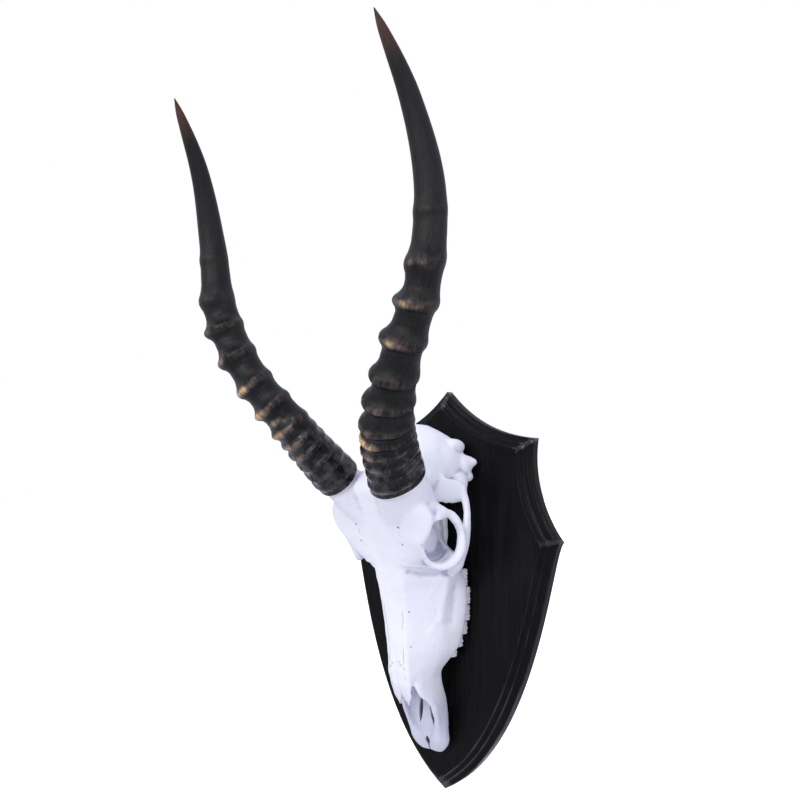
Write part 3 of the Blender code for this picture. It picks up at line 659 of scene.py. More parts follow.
# %% Build the rough skull
# Size of the skin's faces in millimetres, and how the cut skin is softened
SKIN = 1.25
SOFTEN_FACTOR, SOFTEN_ROUNDS = 0.5, 6


def one_skin(obj, name):
    """Give an object's crossing shapes one even skin."""
    remesh = obj.modifiers.new(name, "REMESH")
    remesh.mode = "VOXEL"
    remesh.voxel_size = SKIN * MM


def rough_skull():
    bm = bmesh.new()
    add_body(bm)
    for side in (1, -1):
        add_orbit_rim(bm, side)
        for row in BROW:
            add_bar(bm, side, row)
        add_knob(bm, side, BROW_KNOB)
        add_arch(bm, side)
        add_bar(bm, side, WEB)
        add_nasal(bm, side)
        add_stump(bm, side)
        add_base(bm, side)
    obj = finish_object("bleached_skull", bm)
    one_skin(obj, "one_skin")
    tools = [lofted_cutter("eye_sockets", [scoop(1), scoop(-1)]), nose_cutter(), foramen_cutter()]
    for tool in tools:
        cut(obj, tool)
    one_skin(obj, "skin_after_cuts")
    soften = obj.modifiers.new("soften", "SMOOTH")
    soften.factor = SOFTEN_FACTOR
    soften.iterations = SOFTEN_ROUNDS
    settle(obj, tools)
    return obj


skull = rough_skull()
print("rough skull:", len(skull.data.polygons), "faces")

# %% [markdown]
# ## Melting the valleys
# Where stumps, rims and webs run into the body, the heap of shapes leaves sharp valleys that
# grown bone doesn't have. A vertex group marks them with soft edges, and a Smooth modifier
# that only works on this group melts them.

# %% Smooth the valleys
# Each valley: its places, its width, and how strongly it is smoothed
VALLEYS = (
    (((0, 98, 66), (0, 104, 78), (0, 112, 98)), 24.0, 1.0),
    (((22, 92, 66), (30, 97, 78), (36, 98, 90)), 12.0, 1.0),
    (((38, 84, 90), (44, 83, 85), (48, 82, 80)), 7.0, 1.0),
    (((32, 58, 108), (40, 50, 108), (50, 40, 106)), 12.0, 1.0),
    (((36, 52, 98), (45, 46, 98), (50, 39, 96)), 9.0, 0.8),
    (((42, 70, 92), (36, 78, 104), (28, 88, 112)), 9.0, 1.0),
    (((10, 104, 106), (20, 100, 108)), 9.0, 0.9),
    (((44, 66, 30), (52, 58, 33)), 4.0, 0.6),
)
VALLEY_ROUNDS = 45
VALLEY_FACTOR = 0.6
# Points that belong to a valley less than this are left out
VALLEY_LEAST = 0.02


def nearness(points, path, width):
    """How near each point is to a path: 1 on it, fading to 0 a few widths away."""
    best = np.full(len(points), np.inf)
    path = np.array(path, float)
    for start, end in zip(path, path[1:]):
        run = end - start
        t = np.clip((points - start) @ run / (run @ run), 0, 1)
        best = np.minimum(best, ((points - start - t[:, None] * run) ** 2).sum(1))
    return np.exp(-best / width**2)


def vectors(mesh, source, name):
    """One vector for each vertex, as rows of an array."""
    values = np.empty(len(mesh.vertices) * 3, np.float32)
    source.foreach_get(name, values)
    return values.reshape(-1, 3).astype(float)


def places_of(points):
    """The places (side, out, up) of points in metres, the same for both sides of the skull."""
    return np.column_stack([abs(points[:, 0]), -points[:, 1] - PLAQUE_THICK * MM, points[:, 2]]) / MM


def melt_valleys(obj):
    where = places_of(vectors(obj.data, obj.data.vertices, "co"))
    weights = np.zeros(len(where))
    for path, width, strength in VALLEYS:
        weights = np.maximum(weights, strength * nearness(where, path, width))
    group = obj.vertex_groups.new(name="valleys")
    chosen = np.flatnonzero(weights > VALLEY_LEAST)
    for i in chosen:
        group.add([int(i)], float(weights[i]), "REPLACE")
    melt = obj.modifiers.new("melt_valleys", "SMOOTH")
    melt.factor = VALLEY_FACTOR
    melt.iterations = VALLEY_ROUNDS
    melt.vertex_group = group.name
    settle(obj)
    obj.vertex_groups.clear()
    return len(chosen)


print("smoothed points:", melt_valleys(skull))

# %% [markdown]
# ## Modelling the surface as with a thumb
# Creases and ridges are paths on the bone. Every vertex near a path moves along its own
# normal, outwards for a ridge and inwards for a crease, by an amount that fades with the
# distance, and the same path works on both sides of the skull.

# %% Creases, ridges and dents
# Each path: its places, its width, and its height, negative for a crease
RELIEF = (
    (((19, 80, 32.5), (24, 78, 32), (33.4, 68.2, 31), (39.5, 56, 27.5), (46, 50, 28.5), (55, 51, 34)),
     1.8, 0.7),
    (((20, 74, 25), (27, 64, 22), (34, 54, 21), (41, 47, 22)), 5.0, -1.8),
    (((24, 62, 12), (30, 54, 10)), 9.0, 0.6),
    (((52.1, 38.6, 30.3), (49, 44.1, 25.4), (37.5, 40.7, 15.9), (34.8, 39.9, 4.1), (33.1, 40.5, -4.4),
      (30.8, 40.2, -19.2)), 3.5, 0.7),
    (((29.5, 42, -19.5), (27.6, 45.4, -23.2), (24.9, 48.1, -30.2)), 3.0, 0.4),
    (((40, 30, 8), (36, 29, -8), (33, 30, -20)), 6.0, -1.2),
    (((12.2, 71.7, 0.5), (10.5, 69, -15), (9.2, 67.5, -26.6), (8, 66.6, -37), (7.6, 64, -55),
      (7.6, 62.1, -71)), 1.3, -0.25),
    (((0, 57.5, -86), (0, 67, -40), (0, 70, -10), (0, 77, 22)), 1.3, -0.12),
    (((22, 84, 118), (27, 68, 127), (31, 50, 133)), 2.0, 0.5),
    (((0, 96, 122), (0, 82, 137), (0, 66, 150)), 3.0, 0.6),
    (((22.5, 90.5, 58), (23.8, 94, 64), (25.5, 97, 71)), 2.4, -0.35),
    (((22.5, 85, 45), (23.4, 88, 51)), 2.2, -0.3),
    (((15, 30, -118), (15.5, 33, -104)), 2.0, 0.4),
    (((19, 20, -128), (19, 22, -112)), 4.0, -0.6),
)
# The clouds of unevenness: how many in a metre, and their height in millimetres
UNEVEN = ((90, 0.28), (260, 0.12))


def model_surface(obj):
    mesh = obj.data
    points = vectors(mesh, mesh.vertices, "co")
    normals = vectors(mesh, mesh.vertex_normals, "vector")
    where = places_of(points)
    push = np.zeros(len(points))
    for path, width, height in RELIEF:
        push += height * nearness(where, path, width)
    for i, point in enumerate(points):
        push[i] += sum(height * noise.noise(Vector(point) * size) for size, height in UNEVEN)
    points += normals * push[:, None] * MM
    mesh.vertices.foreach_set("co", points.astype(np.float32).ravel())
    mesh.update()


model_surface(skull)
print("creases and ridges:", len(RELIEF))

# %% [markdown]
# ## Sharp cuts
# What the softening would have rounded away comes last: the ragged broken edge of the thin
# bone in front of the eye, the slits in the floor of the nose, the split at the snout's tip,
# the small holes for nerves, the seats of the horns and the sockets of the teeth.

# %% Slits, the split and nerve holes
# The two slits through the floor of the nose: distance from the middle at their lower and
# upper ends, half width, and heights of both ends
PALATE_SLIT = (7.8, 5.0, 1.9, -122.5, -96.5)
# The outline of a slit, as places along it and shares of its half width
SLIT_OUTLINE = ((0, 0), (0.15, 0.5), (0.3, 0.8), (0.5, 1), (0.7, 0.95), (0.85, 0.7), (1, 0),
                (0.85, -0.7), (0.7, -0.95), (0.5, -1), (0.3, -0.8), (0.15, -0.5))
# The split between the two halves of the snout's tip: heights with its half width, up to the
# small opening that it ends in
TIP_SPLIT = ((-150.0, 0.7), (-144.0, 0.7), (-140.8, 0.9), (-136.4, 2.6), (-132.7, 0.5))
SPLIT_STEPS = 13
# The softened bone closes up a little, so these cuts are wider by
SLIT_SPARE, SPLIT_SPARE = 0.4, 0.2
# How far in front of the plaque the cuts through the palate reach
PALATE_REACH = 30.0
# Nerve holes: place on the bone, direction into it, and radius
NERVE_HOLES = (
    ((23.8, 94.7, 65.5), (0.0, -1.0, 0.5), 1.5),
    ((23.4, 88.0, 50.6), (0.0, -1.0, 0.4), 1.1),
    ((15.0, 66.5, -10.3), (-0.8, -0.6, -0.1), 0.6),
    ((13.6, 61.6, -41.7), (-0.8, -0.6, 0.1), 0.6),
    ((42.3, 79.5, 39.5), (-0.5, -0.4, 0.6), 0.7),
)
# How far a nerve hole's cutter stands out of the bone and reaches into it, and its inner end's
# radius as a share of the outer one
NERVE_OUT, NERVE_IN, NERVE_TAPER = 3, 4, 0.6
NERVE_SIDES = 14


def slit_shapes(bm):
    low_side, high_side, half, low, high = PALATE_SLIT
    half += SLIT_SPARE
    for side in (1, -1):
        rings = []
        for out in (0.0, PALATE_REACH):
            rings.append([place(side * (low_side + (high_side - low_side) * t + half * w), out,
                                low + (high - low) * t) for t, w in SLIT_OUTLINE])
        loft(bm, rings)


def split_shape(bm):
    """The split that runs up from the snout's tip and ends in a small opening."""
    heights = np.linspace(TIP_SPLIT[0][0], TIP_SPLIT[-1][0], SPLIT_STEPS)
    halves = np.interp(heights, *zip(*TIP_SPLIT))
    right = [(half + SPLIT_SPARE, up) for half, up in zip(halves, heights)]
    outline = right + mirrored(right)
    loft(bm, [[place(side, out, up) for side, up in outline] for out in (0.0, PALATE_REACH)])


def nerve_shapes(bm):
    for side in (1, -1):
        for (across, out, up), way, radius in NERVE_HOLES:
            start = place(side * across, out, up)
            into = Vector((side * way[0], -way[1], way[2])).normalized()
            path = [start - into * NERVE_OUT * MM, start, start + into * NERVE_IN * MM]
            halves = [(radius * MM,) * 2] * 2 + [(radius * NERVE_TAPER * MM,) * 2]
            sweep(bm, path, halves, sides=NERVE_SIDES, upright=(1, 0, 0.3))


def small_cutter():
    bm = bmesh.new()
    slit_shapes(bm)
    split_shape(bm)
    nerve_shapes(bm)
    return cutter("slits_and_holes", bm)


print("nerve holes on each side:", len(NERVE_HOLES))

# %% The ends of the nasal bones
# What is trimmed off the nasal bones' ends, seen from the front as (side, up): the cleft between
# their two points, and the slanting outer side of each point
NASAL_CLEFT = ((0, -85.8), (4.4, -94.2), (4.4, -99), (-4.4, -99), (-4.4, -94.2))
NASAL_SLANT = ((5.6, -94.2), (9.8, -87), (12.6, -80.5), (13.4, -76), (16, -76), (16, -99), (5.6, -99))
# The trimming is done between these distances out, in front of the rims of the nose
NASAL_TRIM_OUT = (53.0, 73.0)
# Below this height the trimming reaches down further, by so much for each millimetre
NASAL_FLOOR_FROM = -80.0
NASAL_FLOOR_SLOPE = 0.6
# What is hollowed out under the points: height, with its lower and upper depth, and its half width
NASAL_UNDERSIDE = ((-99, 46, 50.2), (-90, 48, 53.6), (-84, 52, 56.6), (-79, 55, 58))
NASAL_UNDER_HALF = 11.0


def nasal_floor(up):
    """How far down the trimming of the nasal bones reaches; it spares the rims of the nose."""
    return NASAL_TRIM_OUT[0] + NASAL_FLOOR_SLOPE * min(up - NASAL_FLOOR_FROM, 0.0)


def nasal_cutter():
    """What is trimmed off the ends of the nasal bones to leave their two points."""
    shapes = []
    for outline in (NASAL_CLEFT, NASAL_SLANT, mirrored(NASAL_SLANT)):
        lower = [place(side, nasal_floor(up), up) for side, up in outline]
        shapes.append([lower, [place(side, NASAL_TRIM_OUT[1], up) for side, up in outline]])
    return lofted_cutter("nasal_trim", shapes)


def nasal_underside_cutter():
    """What is hollowed out under the points, which makes them thin."""
    rings = []
    for up, low, high in NASAL_UNDERSIDE:
        right = [(NASAL_UNDER_HALF, low), (NASAL_UNDER_HALF, high)]
        rings.append(section(right + mirrored(right), up))
    return lofted_cutter("nasal_underside", [rings])


print("the nasal bones' points end at", NASAL_SLANT[0][1], "mm")

# %% The ragged edge in front of the eye
# The broken edge, seen from the side as (out, up), and the rest of the cutter's outline, which
# lies inside the socket and cuts nothing
RAGGED = ((83.5, 44.5), (86.8, 49), (87.8, 51.9), (86.7, 55.9), (86.3, 59.8), (87, 64.3), (88.4, 68.1),
          (87.2, 70.8), (84, 72.9), (78, 73.6), (71.9, 73.8))
INSIDE = ((66, 66), (66, 50))
RAGGED_STEPS = 60
# How far the edge's points are shifted at random, and where the cutter begins and ends sideways
RAGGED_JITTER = 0.4
RAGGED_FROM, RAGGED_TO = 43.0, 80.0


def ragged_cutter():
    """A prism through each socket's opening, whose outline breaks the thin edge of the bone."""
    chance = random.Random(7)
    edge = evenly(RAGGED, RAGGED_STEPS)
    ways = np.gradient(edge, axis=0)
    ways /= np.linalg.norm(ways, axis=1)[:, None]
    shapes = []
    for side in (1, -1):
        shifts = np.array([chance.uniform(-1, 1) * RAGGED_JITTER for point in edge])[:, None]
        outline = list(edge + shifts * np.column_stack([ways[:, 1], -ways[:, 0]])) + list(INSIDE)
        reach = (RAGGED_FROM, RAGGED_TO)
        shapes.append([[place(side * across, out, up) for out, up in outline] for across in reach])
    return lofted_cutter("ragged_edge", shapes)


print("points along the broken edge:", RAGGED_STEPS)

# %% Seats for the horns
# Depth of the seat that the horn's base leaves in the bone
SEAT_DEPTH = 12.0
SEAT_SIDES = 40


def seat(side):
    """The rings of the shallow seat that the horn's base leaves in the bone."""
    rows = [0.0, SEAT_DEPTH]
    bottom = plain_ring(rows, 0, side, GAP, SEAT_SIDES)
    top = plain_ring(rows, 1, side, GAP, SEAT_SIDES)
    down = (bottom[0] - top[0]).normalized() * GAP * MM
    return [[point + down for point in bottom], top]


print("points round a seat:", len(seat(1)[0]))

# %% [markdown]
# ## Cheek teeth
# An antelope's molar has two lobes with sharp upright ribs on its outer side, and two hollow
# crescents on its biting face. Each tooth is lofted through rings that share one outline, and
# the biting edge rises to a point over each lobe.

# %% Tooth shapes
# Upper cheek teeth: name, length along the jaw, distance from the middle, width, biting edge
TEETH = (
    ("premolar_2", 9.0, 23.3, 7.5, 8.5),
    ("premolar_3", 11.5, 26.8, 9.5, 5.0),
    ("premolar_4", 12.5, 29.4, 11.0, 2.4),
    ("molar_1", 15.0, 30.6, 12.5, 1.0),
    ("molar_2", 16.5, 31.0, 12.5, 1.0),
    ("molar_3", 16.5, 30.0, 11.5, 3.5),
)
TOOTH_ROW_START = -58.0
# Where the roots end, in front of the plaque, and their size there as a share of the crown's
TOOTH_ROOT = 19.0
TOOTH_ROOT_SHARE = 0.82
# How far the crowns lean outwards at the biting edge
TOOTH_LEAN = 0.4
TOOTH_POINTS = 33
# How far the points over the lobes rise above the biting edge, and how much of that rise the
# inner side has
CUSP = 1.6
INNER_CUSP = 0.7
# Share of the half width that the tooth has between its outer ribs, how square its corners are,
# and what the outer and the inner side keep of their reach at the corners
TOOTH_BODY = 0.8
TOOTH_SQUARE = 12
OUTER_CORNER, INNER_CORNER = 0.75, 0.5
# What the inner side keeps of its reach between two lobes, and its share of the tooth's length
LOBE_VALLEY = 0.62
INNER_LENGTH = 0.96
# The outer ribs of a tooth with one lobe and of one with two: place along it, and height
RIBS = {1: ((-0.8, 1.0), (-0.1, 0.9), (0.8, 1.0)),
        2: ((-0.9, 1.1), (-0.45, 0.6), (0, 1.25), (0.45, 0.6), (0.9, 1.1))}
RIB_WIDTH = 0.9


def tooth_span(index):
    start = TOOTH_ROW_START + sum(tooth[1] for tooth in TEETH[:index])
    return start, start + TEETH[index][1]


def tooth_outline(index, grow=0.0):
    """Places of (outwards, along, cusp) round a tooth: ribs outside, round lobes inside."""
    name, length, middle, width, edge = TEETH[index]
    lobes = 2 if name.startswith("molar") else 1
    half_length = (length - GAP) / 2 + grow
    half_width = width / 2 + grow
    outer, inner = [], []
    for t in np.linspace(-1, 1, TOOTH_POINTS):
        rib = sum(rise * math.exp(-((t - at) * half_length / RIB_WIDTH) ** 2) for at, rise in RIBS[lobes])
        swing = abs(math.sin(math.pi * lobes * (t + 1) / 2))
        round_off = (1 - t**TOOTH_SQUARE) ** 0.5
        reach = half_width * TOOTH_BODY + rib
        outer.append((reach * (OUTER_CORNER + (1 - OUTER_CORNER) * round_off), half_length * t, swing))
        depth = half_width * (LOBE_VALLEY + (1 - LOBE_VALLEY) * swing)
        depth *= INNER_CORNER + (1 - INNER_CORNER) * round_off
        inner.append((-depth, half_length * t * INNER_LENGTH, swing * INNER_CUSP))
    return outer + inner[::-1]


def tooth_ring(side, index, outline, out, scale, cusps=0.0):
    name, length, middle, width, edge = TEETH[index]
    centre = sum(tooth_span(index)) / 2
    leant = middle + TOOTH_LEAN * (TOOTH_ROOT - out) / (TOOTH_ROOT - edge)
    return [place(side * (leant + across * scale), out - cusps * swing + cusps * 0.5, centre + along * scale)
            for across, along, swing in outline]


print("teeth on each side:", len(TEETH))

# %% Sockets for the teeth
# How far a socket's cutter stands out past the biting edge, and how far above that edge the
# tooth begins to narrow towards its root
SOCKET_OUT = 2
SOCKET_SHOULDER = 3.0


def tooth_sockets():
    shapes = []
    for side in (1, -1):
        for index, (name, length, middle, width, edge) in enumerate(TEETH):
            outline = tooth_outline(index, GAP)
            rows = ((edge - SOCKET_OUT, 1.0), (edge + SOCKET_SHOULDER, 1.0),
                    (TOOTH_ROOT + GAP, TOOTH_ROOT_SHARE))
            shapes.append([tooth_ring(side, index, outline, out, scale) for out, scale in rows])
    return shapes


print("tooth sockets:", len(tooth_sockets()))

# %% The screw's hole
# The screw through the plaque into the back of the skull: its place, radii, and the depths from
# the plaque's back face of its head's top, rim and neck, and of its point
SCREW_PLACE = (0.0, 118.0)
SCREW_SHANK = 2.4
SCREW_HEAD = 4.5
SCREW_SUNK = 0.5
SCREW_RIM = 1.0
SCREW_NECK = 4.0
SCREW_LENGTH = 40.0
HOLE_SIDES, SCREW_SIDES = 48, 32


def screw_ring(radius, depth, sides):
    side, up = SCREW_PLACE
    turns = [math.tau * k / sides for k in range(sides)]
    return [Vector((side + radius * math.cos(turn), -depth, up + radius * math.sin(turn))) * MM
            for turn in turns]


def screw_hole_cutter(name):
    """The countersunk hole for the screw, a little wider than it."""
    head = SCREW_HEAD + GAP
    shank = SCREW_SHANK + GAP
    rows = ((head, -SCREW_SUNK), (head, SCREW_RIM), (shank, SCREW_NECK), (shank, SCREW_LENGTH + GAP))
    return lofted_cutter(name, [[screw_ring(radius, depth, HOLE_SIDES) for radius, depth in rows]])


print("the screw enters at", SCREW_PLACE[1], "mm up")

# %% Cut the skull
cuts = [
    small_cutter(),
    nasal_cutter(),
    nasal_underside_cutter(),
    palate_cutter(),
    ragged_cutter(),
    lofted_cutter("horn_seats", [seat(1), seat(-1)]),
    lofted_cutter("tooth_sockets", tooth_sockets()),
    screw_hole_cutter("skull_screw_hole"),
]
for tool in cuts:
    cut(skull, tool)
settle(skull, cuts)
shade(skull, 50)
print("finished skull:", len(skull.data.polygons), "faces")

# %% [markdown]
# ## How hollow the bone is
# Bleached bone is given painted shade in its creases, darker and bluer there. The bend
# of the surface is worked out from each vertex and its neighbours, smoothed, and stored as an
# attribute that the material can read.

# %% Store the bend of the surface
FLAT = 0.5


def store_bend(mesh, strength, rounds):
    """Attribute bend: 0 in a crease, FLAT on flat ground, 1 on a ridge."""
    points = vectors(mesh, mesh.vertices, "co")
    normals = vectors(mesh, mesh.vertex_normals, "vector")
    ends = np.empty(len(mesh.edges) * 2, np.int32)
    mesh.edges.foreach_get("vertices", ends)
    first, second = ends.reshape(-1, 2).T
    count = np.bincount(ends, minlength=len(points)).clip(1)

    def mean_of_neighbours(values):
        total = np.bincount(first, values[second], len(points))
        return (total + np.bincount(second, values[first], len(points))) / count

    offset = np.column_stack([mean_of_neighbours(points[:, axis]) for axis in range(3)]) - points
    bend = -(offset * normals).sum(1) / MM
    for step in range(rounds):
        bend = (bend + mean_of_neighbours(bend)) / 2
    layer = mesh.attributes.new("bend", "FLOAT", "POINT")
    layer.data.foreach_set("value", np.clip(FLAT + bend * strength, 0, 1).astype(np.float32))
    return bend


bend = store_bend(skull.data, strength=7.0, rounds=8)
print("sharpest crease and ridge:", round(bend.min(), 3), round(bend.max(), 3))

# %% Build the teeth
# The rings of a crown, from its root over the biting edge down into the hollow of the biting
# face: distance above the edge, share of the full size, and share of the cusps' rise
CROWN = ((6.0, 0.97, 0), (3.0, 1.0, 0), (1.3, 0.97, 1), (0.9, 0.9, 1), (1.1, 0.8, 1), (2.6, 0.62, 0.3),
         (2.9, 0.4, 0), (1.8, 0.26, 0))


def finish_ends(bm):
    """Triangulate the many-sided faces that close a loft."""
    bmesh.ops.triangulate(bm, faces=[face for face in bm.faces if len(face.verts) > 4])


def build_tooth(side, index, name):
    bm = bmesh.new()
    edge = TEETH[index][4]
    outline = tooth_outline(index)
    rings = [tooth_ring(side, index, outline, TOOTH_ROOT, TOOTH_ROOT_SHARE)]
    for rise, share, cusps in CROWN:
        rings.append(tooth_ring(side, index, outline, edge + rise, share, CUSP * cusps))
    loft(bm, rings)
    finish_ends(bm)
    tooth = finish_object(name, bm)
    shade(tooth, 60)
    store_bend(tooth.data, strength=3.0, rounds=2)
    return tooth


teeth = {}
for side, word in ((1, "left"), (-1, "right")):
    for index, tooth in enumerate(TEETH):
        node = f"{tooth[0]}_{word}"
        teeth[node] = build_tooth(side, index, f"ribbed_{node}")
print("teeth:", len(teeth), "with about", len(teeth["molar_2_left"].data.polygons), "faces each")

# %% [markdown]
# ## Horns
# A blesbok's horn is a sheath of keratin. Rings stand out from its lower two thirds, strongest
# at the front, with fine grooves running along it, and the top third is smooth. The horn is
# lofted from many rows, and the height of each point comes from three simple reliefs.

# %% Reliefs of the horn
# Distance of each ring's crest from the base, with how far it stands out at the front
HORN_RINGS = ((8, 1.6), (20, 1.8), (31, 2.2), (43, 3.0), (54, 2.8), (67, 4.4), (89.5, 5.8), (113.5, 5.8),
              (142.3, 6.6), (171.8, 6.2), (200.5, 3.8), (237, 1.0))
# Share of its height that a ring keeps at the rear, and the free length after the last ring
RING_REAR_SHARE = 0.12
LAST_RING_GAP = 26.0
# A ring's section: places from its crest, as shares of the gap to the next ring, with its height
RING_PROFILE = ((-0.32, 0.0), (-0.2, 0.25), (-0.1, 0.75), (-0.03, 0.97), (0.03, 1.0), (0.1, 0.88),
                (0.2, 0.45), (0.3, 0.18), (0.42, 0.0))


def ring_relief(distance):
    """How far the rings stand out at a distance from the base, in millimetres."""
    crests = [crest for crest, rise in HORN_RINGS]
    gaps = np.diff(crests + [crests[-1] + LAST_RING_GAP])
    relief = 0.0
    for (crest, rise), gap in zip(HORN_RINGS, gaps):
        t = (distance - crest) / gap
        if RING_PROFILE[0][0] < t < RING_PROFILE[-1][0]:
            relief = max(relief, rise * np.interp(t, *zip(*RING_PROFILE)))
    return relief


print("a ring's crest stands out", ring_relief(HORN_RINGS[8][0]), "mm")

# %% Rubbed places of the horn
# Distance from the base, how far round from the front in degrees, and how pale
RUBBED = {
    "left": ((31, -20, 0.3), (43, -25, 0.45), (54, -30, 1.0), (67, -10, 0.3), (89.5, -5, 0.3),
             (142.3, 5, 0.5), (171.8, 5, 0.55), (200.5, 0, 0.3)),
    "right": ((43, 0, 0.4), (54, 5, 0.6), (67, 10, 0.9), (78, 0, 0.4), (89.5, 15, 1.0), (113.5, 15, 0.95),
              (142.3, 30, 0.55), (171.8, 20, 0.3), (200.5, 20, 0.25)),
}
# How far a rubbed place reaches along the horn and round it
RUBBED_LENGTH = 3.2
RUBBED_TURN = 38.0


def rubbed(word, turn, row):
    """How much of the black is rubbed off, from 0 to 1."""
    most = 0.0
    for at, facing, pale in RUBBED[word]:
        if abs(row - at) < 3 * RUBBED_LENGTH:
            away = (math.degrees(turn) - facing + 180) % 360 - 180
            most = max(most, pale * math.exp(-((row - at) / RUBBED_LENGTH) ** 2 - (away / RUBBED_TURN) ** 2))
    return most


print("rubbed places:", len(RUBBED["left"]) + len(RUBBED["right"]))

# %% Uneven rings, grooves and lumps
# Clouds of noise: height in millimetres, how fine they are round the horn, and how many
# millimetres of its length one takes
RING_WAVES = (1.8, 1.3, 60)
GROOVES = (0.34, 46 / 6, 45)
LUMPS = (0.35, 1.8, 14)
# The rings are even at the base and the grooves fade towards the tip, by these distances
WAVES_FROM = 12
GROOVES_TO = 270


def unevenness(clouds, x, y, shift, row):
    height, fineness, length = clouds
    return height * noise.noise(Vector((x * fineness, y * fineness, shift + row / length)))


def horn_relief(turn, row, seed):
    """Total relief of a point of the horn, and how much of it is a ring."""
    x, y = math.cos(turn), math.sin(turn)
    wave = unevenness(RING_WAVES, x, y, seed, row)
    share = RING_REAR_SHARE + (1.0 - RING_REAR_SHARE) * (0.5 + 0.5 * x)
    ring = ring_relief(row + wave * min(1.0, row / WAVES_FROM)) * share
    fade = max(0.0, 1.0 - row / GROOVES_TO)
    groove = unevenness(GROOVES, x, y, seed, row)
    lumps = unevenness(LUMPS, x, y, seed * 3, row)
    return ring + fade * (groove * (0.5 + ring / 4) + lumps), ring


print("relief at a crest:", round(horn_relief(0.0, HORN_RINGS[8][0], 0.0)[0], 2), "mm")

# %% Build the horns
HORN_STEP = 1.1
HORN_SIDES = 120
# A ring that stands out this far counts as a full crest
FULL_CREST = 4.0


def build_horn(side, word, seed):
    rows = np.arange(0.0, HORN_LENGTH, HORN_STEP).tolist() + [HORN_LENGTH]
    rings, crests, pale = [], [], []
    for row, frame in zip(rows, horn_frames(rows)):
        ring = []
        for k in range(HORN_SIDES):
            turn = math.tau * k / HORN_SIDES
            relief, crest = horn_relief(turn, row, seed)
            ring.append(horn_point(frame, side, turn, relief))
            crests.append(crest)
            pale.append(rubbed(word, turn, row))
        rings.append(ring)
    bm = bmesh.new()
    loft(bm, rings)
    bm.verts.index_update()
    wrap = bm.loops.layers.uv.new("wrap")
    for face in bm.faces:
        columns = [loop.vert.index % HORN_SIDES for loop in face.loops]
        seam = max(columns) == HORN_SIDES - 1 and min(columns) == 0 and len(columns) <= 4
        for loop, column in zip(face.loops, columns):
            turned = 1.0 if seam and column == 0 else column / HORN_SIDES
            loop[wrap].uv = (turned, rows[loop.vert.index // HORN_SIDES] * MM)
    finish_ends(bm)
    horn = finish_object(f"ringed_horn_{word}", bm)
    horn.data.shade_smooth()
    stored = {
        "crest": (np.array(crests) / FULL_CREST).clip(0, 1),
        "along": np.repeat(np.array(rows) * MM, HORN_SIDES),
        "rubbed": np.array(pale),
    }
    for label, values in stored.items():
        layer = horn.data.attributes.new(label, "FLOAT", "POINT")
        layer.data.foreach_set("value", values.astype(np.float32))
    store_bend(horn.data, strength=4.0, rounds=2)
    return horn


horns = {"left": build_horn(1, "left", 3.1), "right": build_horn(-1, "right", 8.7)}
print("faces in each horn:", len(horns["left"].data.polygons))

# %% [markdown]
# ## The plaque
# The shield is a flat board whose edge was shaped with a moulding cutter. Insetting the front
# face would squeeze the short edges at the shield's corners, so each ring of the moulding is
# worked out as a cutter would run: the outline's three curves move inwards, and each one is
# trimmed where it meets the next. Bridging the rings gives crisp mitred corners.

# %% The shield's outline
# Its corners on the right half as (side, up), and the handles of the curves between them
PLAQUE_PEAK = (0.0, 190.0)
PLAQUE_CORNER = (96.5, 144.0)
PLAQUE_EAR = (121.8, 50.8)
PLAQUE_POINT = (0.0, -190.0)
TOP_HANDLES = ((28.0, 158.5), (62.0, 146.0))
SIDE_HANDLES = ((91.0, 112.0), (101.0, 76.0))
BELLY_HANDLES = ((110.3, 46.6), (97.4, -135.4))
EDGE_STEPS = 16
BELLY_STEPS = 30


def plaque_curves():
    """The right half's three curves, from the bottom point over the two corners to the peak."""
    legs = (
        (PLAQUE_POINT, *reversed(BELLY_HANDLES), PLAQUE_EAR, BELLY_STEPS),
        (PLAQUE_EAR, *reversed(SIDE_HANDLES), PLAQUE_CORNER, EDGE_STEPS),
        (PLAQUE_CORNER, *reversed(TOP_HANDLES), PLAQUE_PEAK, EDGE_STEPS),
    )
    curves = []
    for start, handle_a, handle_b, end, steps in legs:
        handles = (Vector((*p, 0)) for p in (start, handle_a, handle_b, end))
        curves.append(np.array(geometry.interpolate_bezier(*handles, steps + 1))[:, :2])
    return curves


def moved_in(curve, inwards):
    """A curve moved to its left by a distance."""
    way = np.gradient(curve, axis=0)
    way /= np.linalg.norm(way, axis=1)[:, None]
    return curve + inwards * np.column_stack([-way[:, 1], way[:, 0]])


def meeting(first, second):
    """Where two curves cross, as a position along each."""
    for i in range(len(first) - 1):
        for j in range(len(second) - 1):
            hit = geometry.intersect_line_line_2d(first[i], first[i + 1], second[j], second[j + 1])
            if hit:
                along = (hit - Vector(first[i])).length / np.linalg.norm(first[i + 1] - first[i])
                other = (hit - Vector(second[j])).length / np.linalg.norm(second[j + 1] - second[j])
                return i + along, j + other
    return len(first) - 1, 0.0


print("where the outline's curves meet:", meeting(*plaque_curves()[:2]))

# %% Rings of the outline
# The middle line that the curves are trimmed at reaches this far past the shield's ends
MIDDLE_SPARE = 20


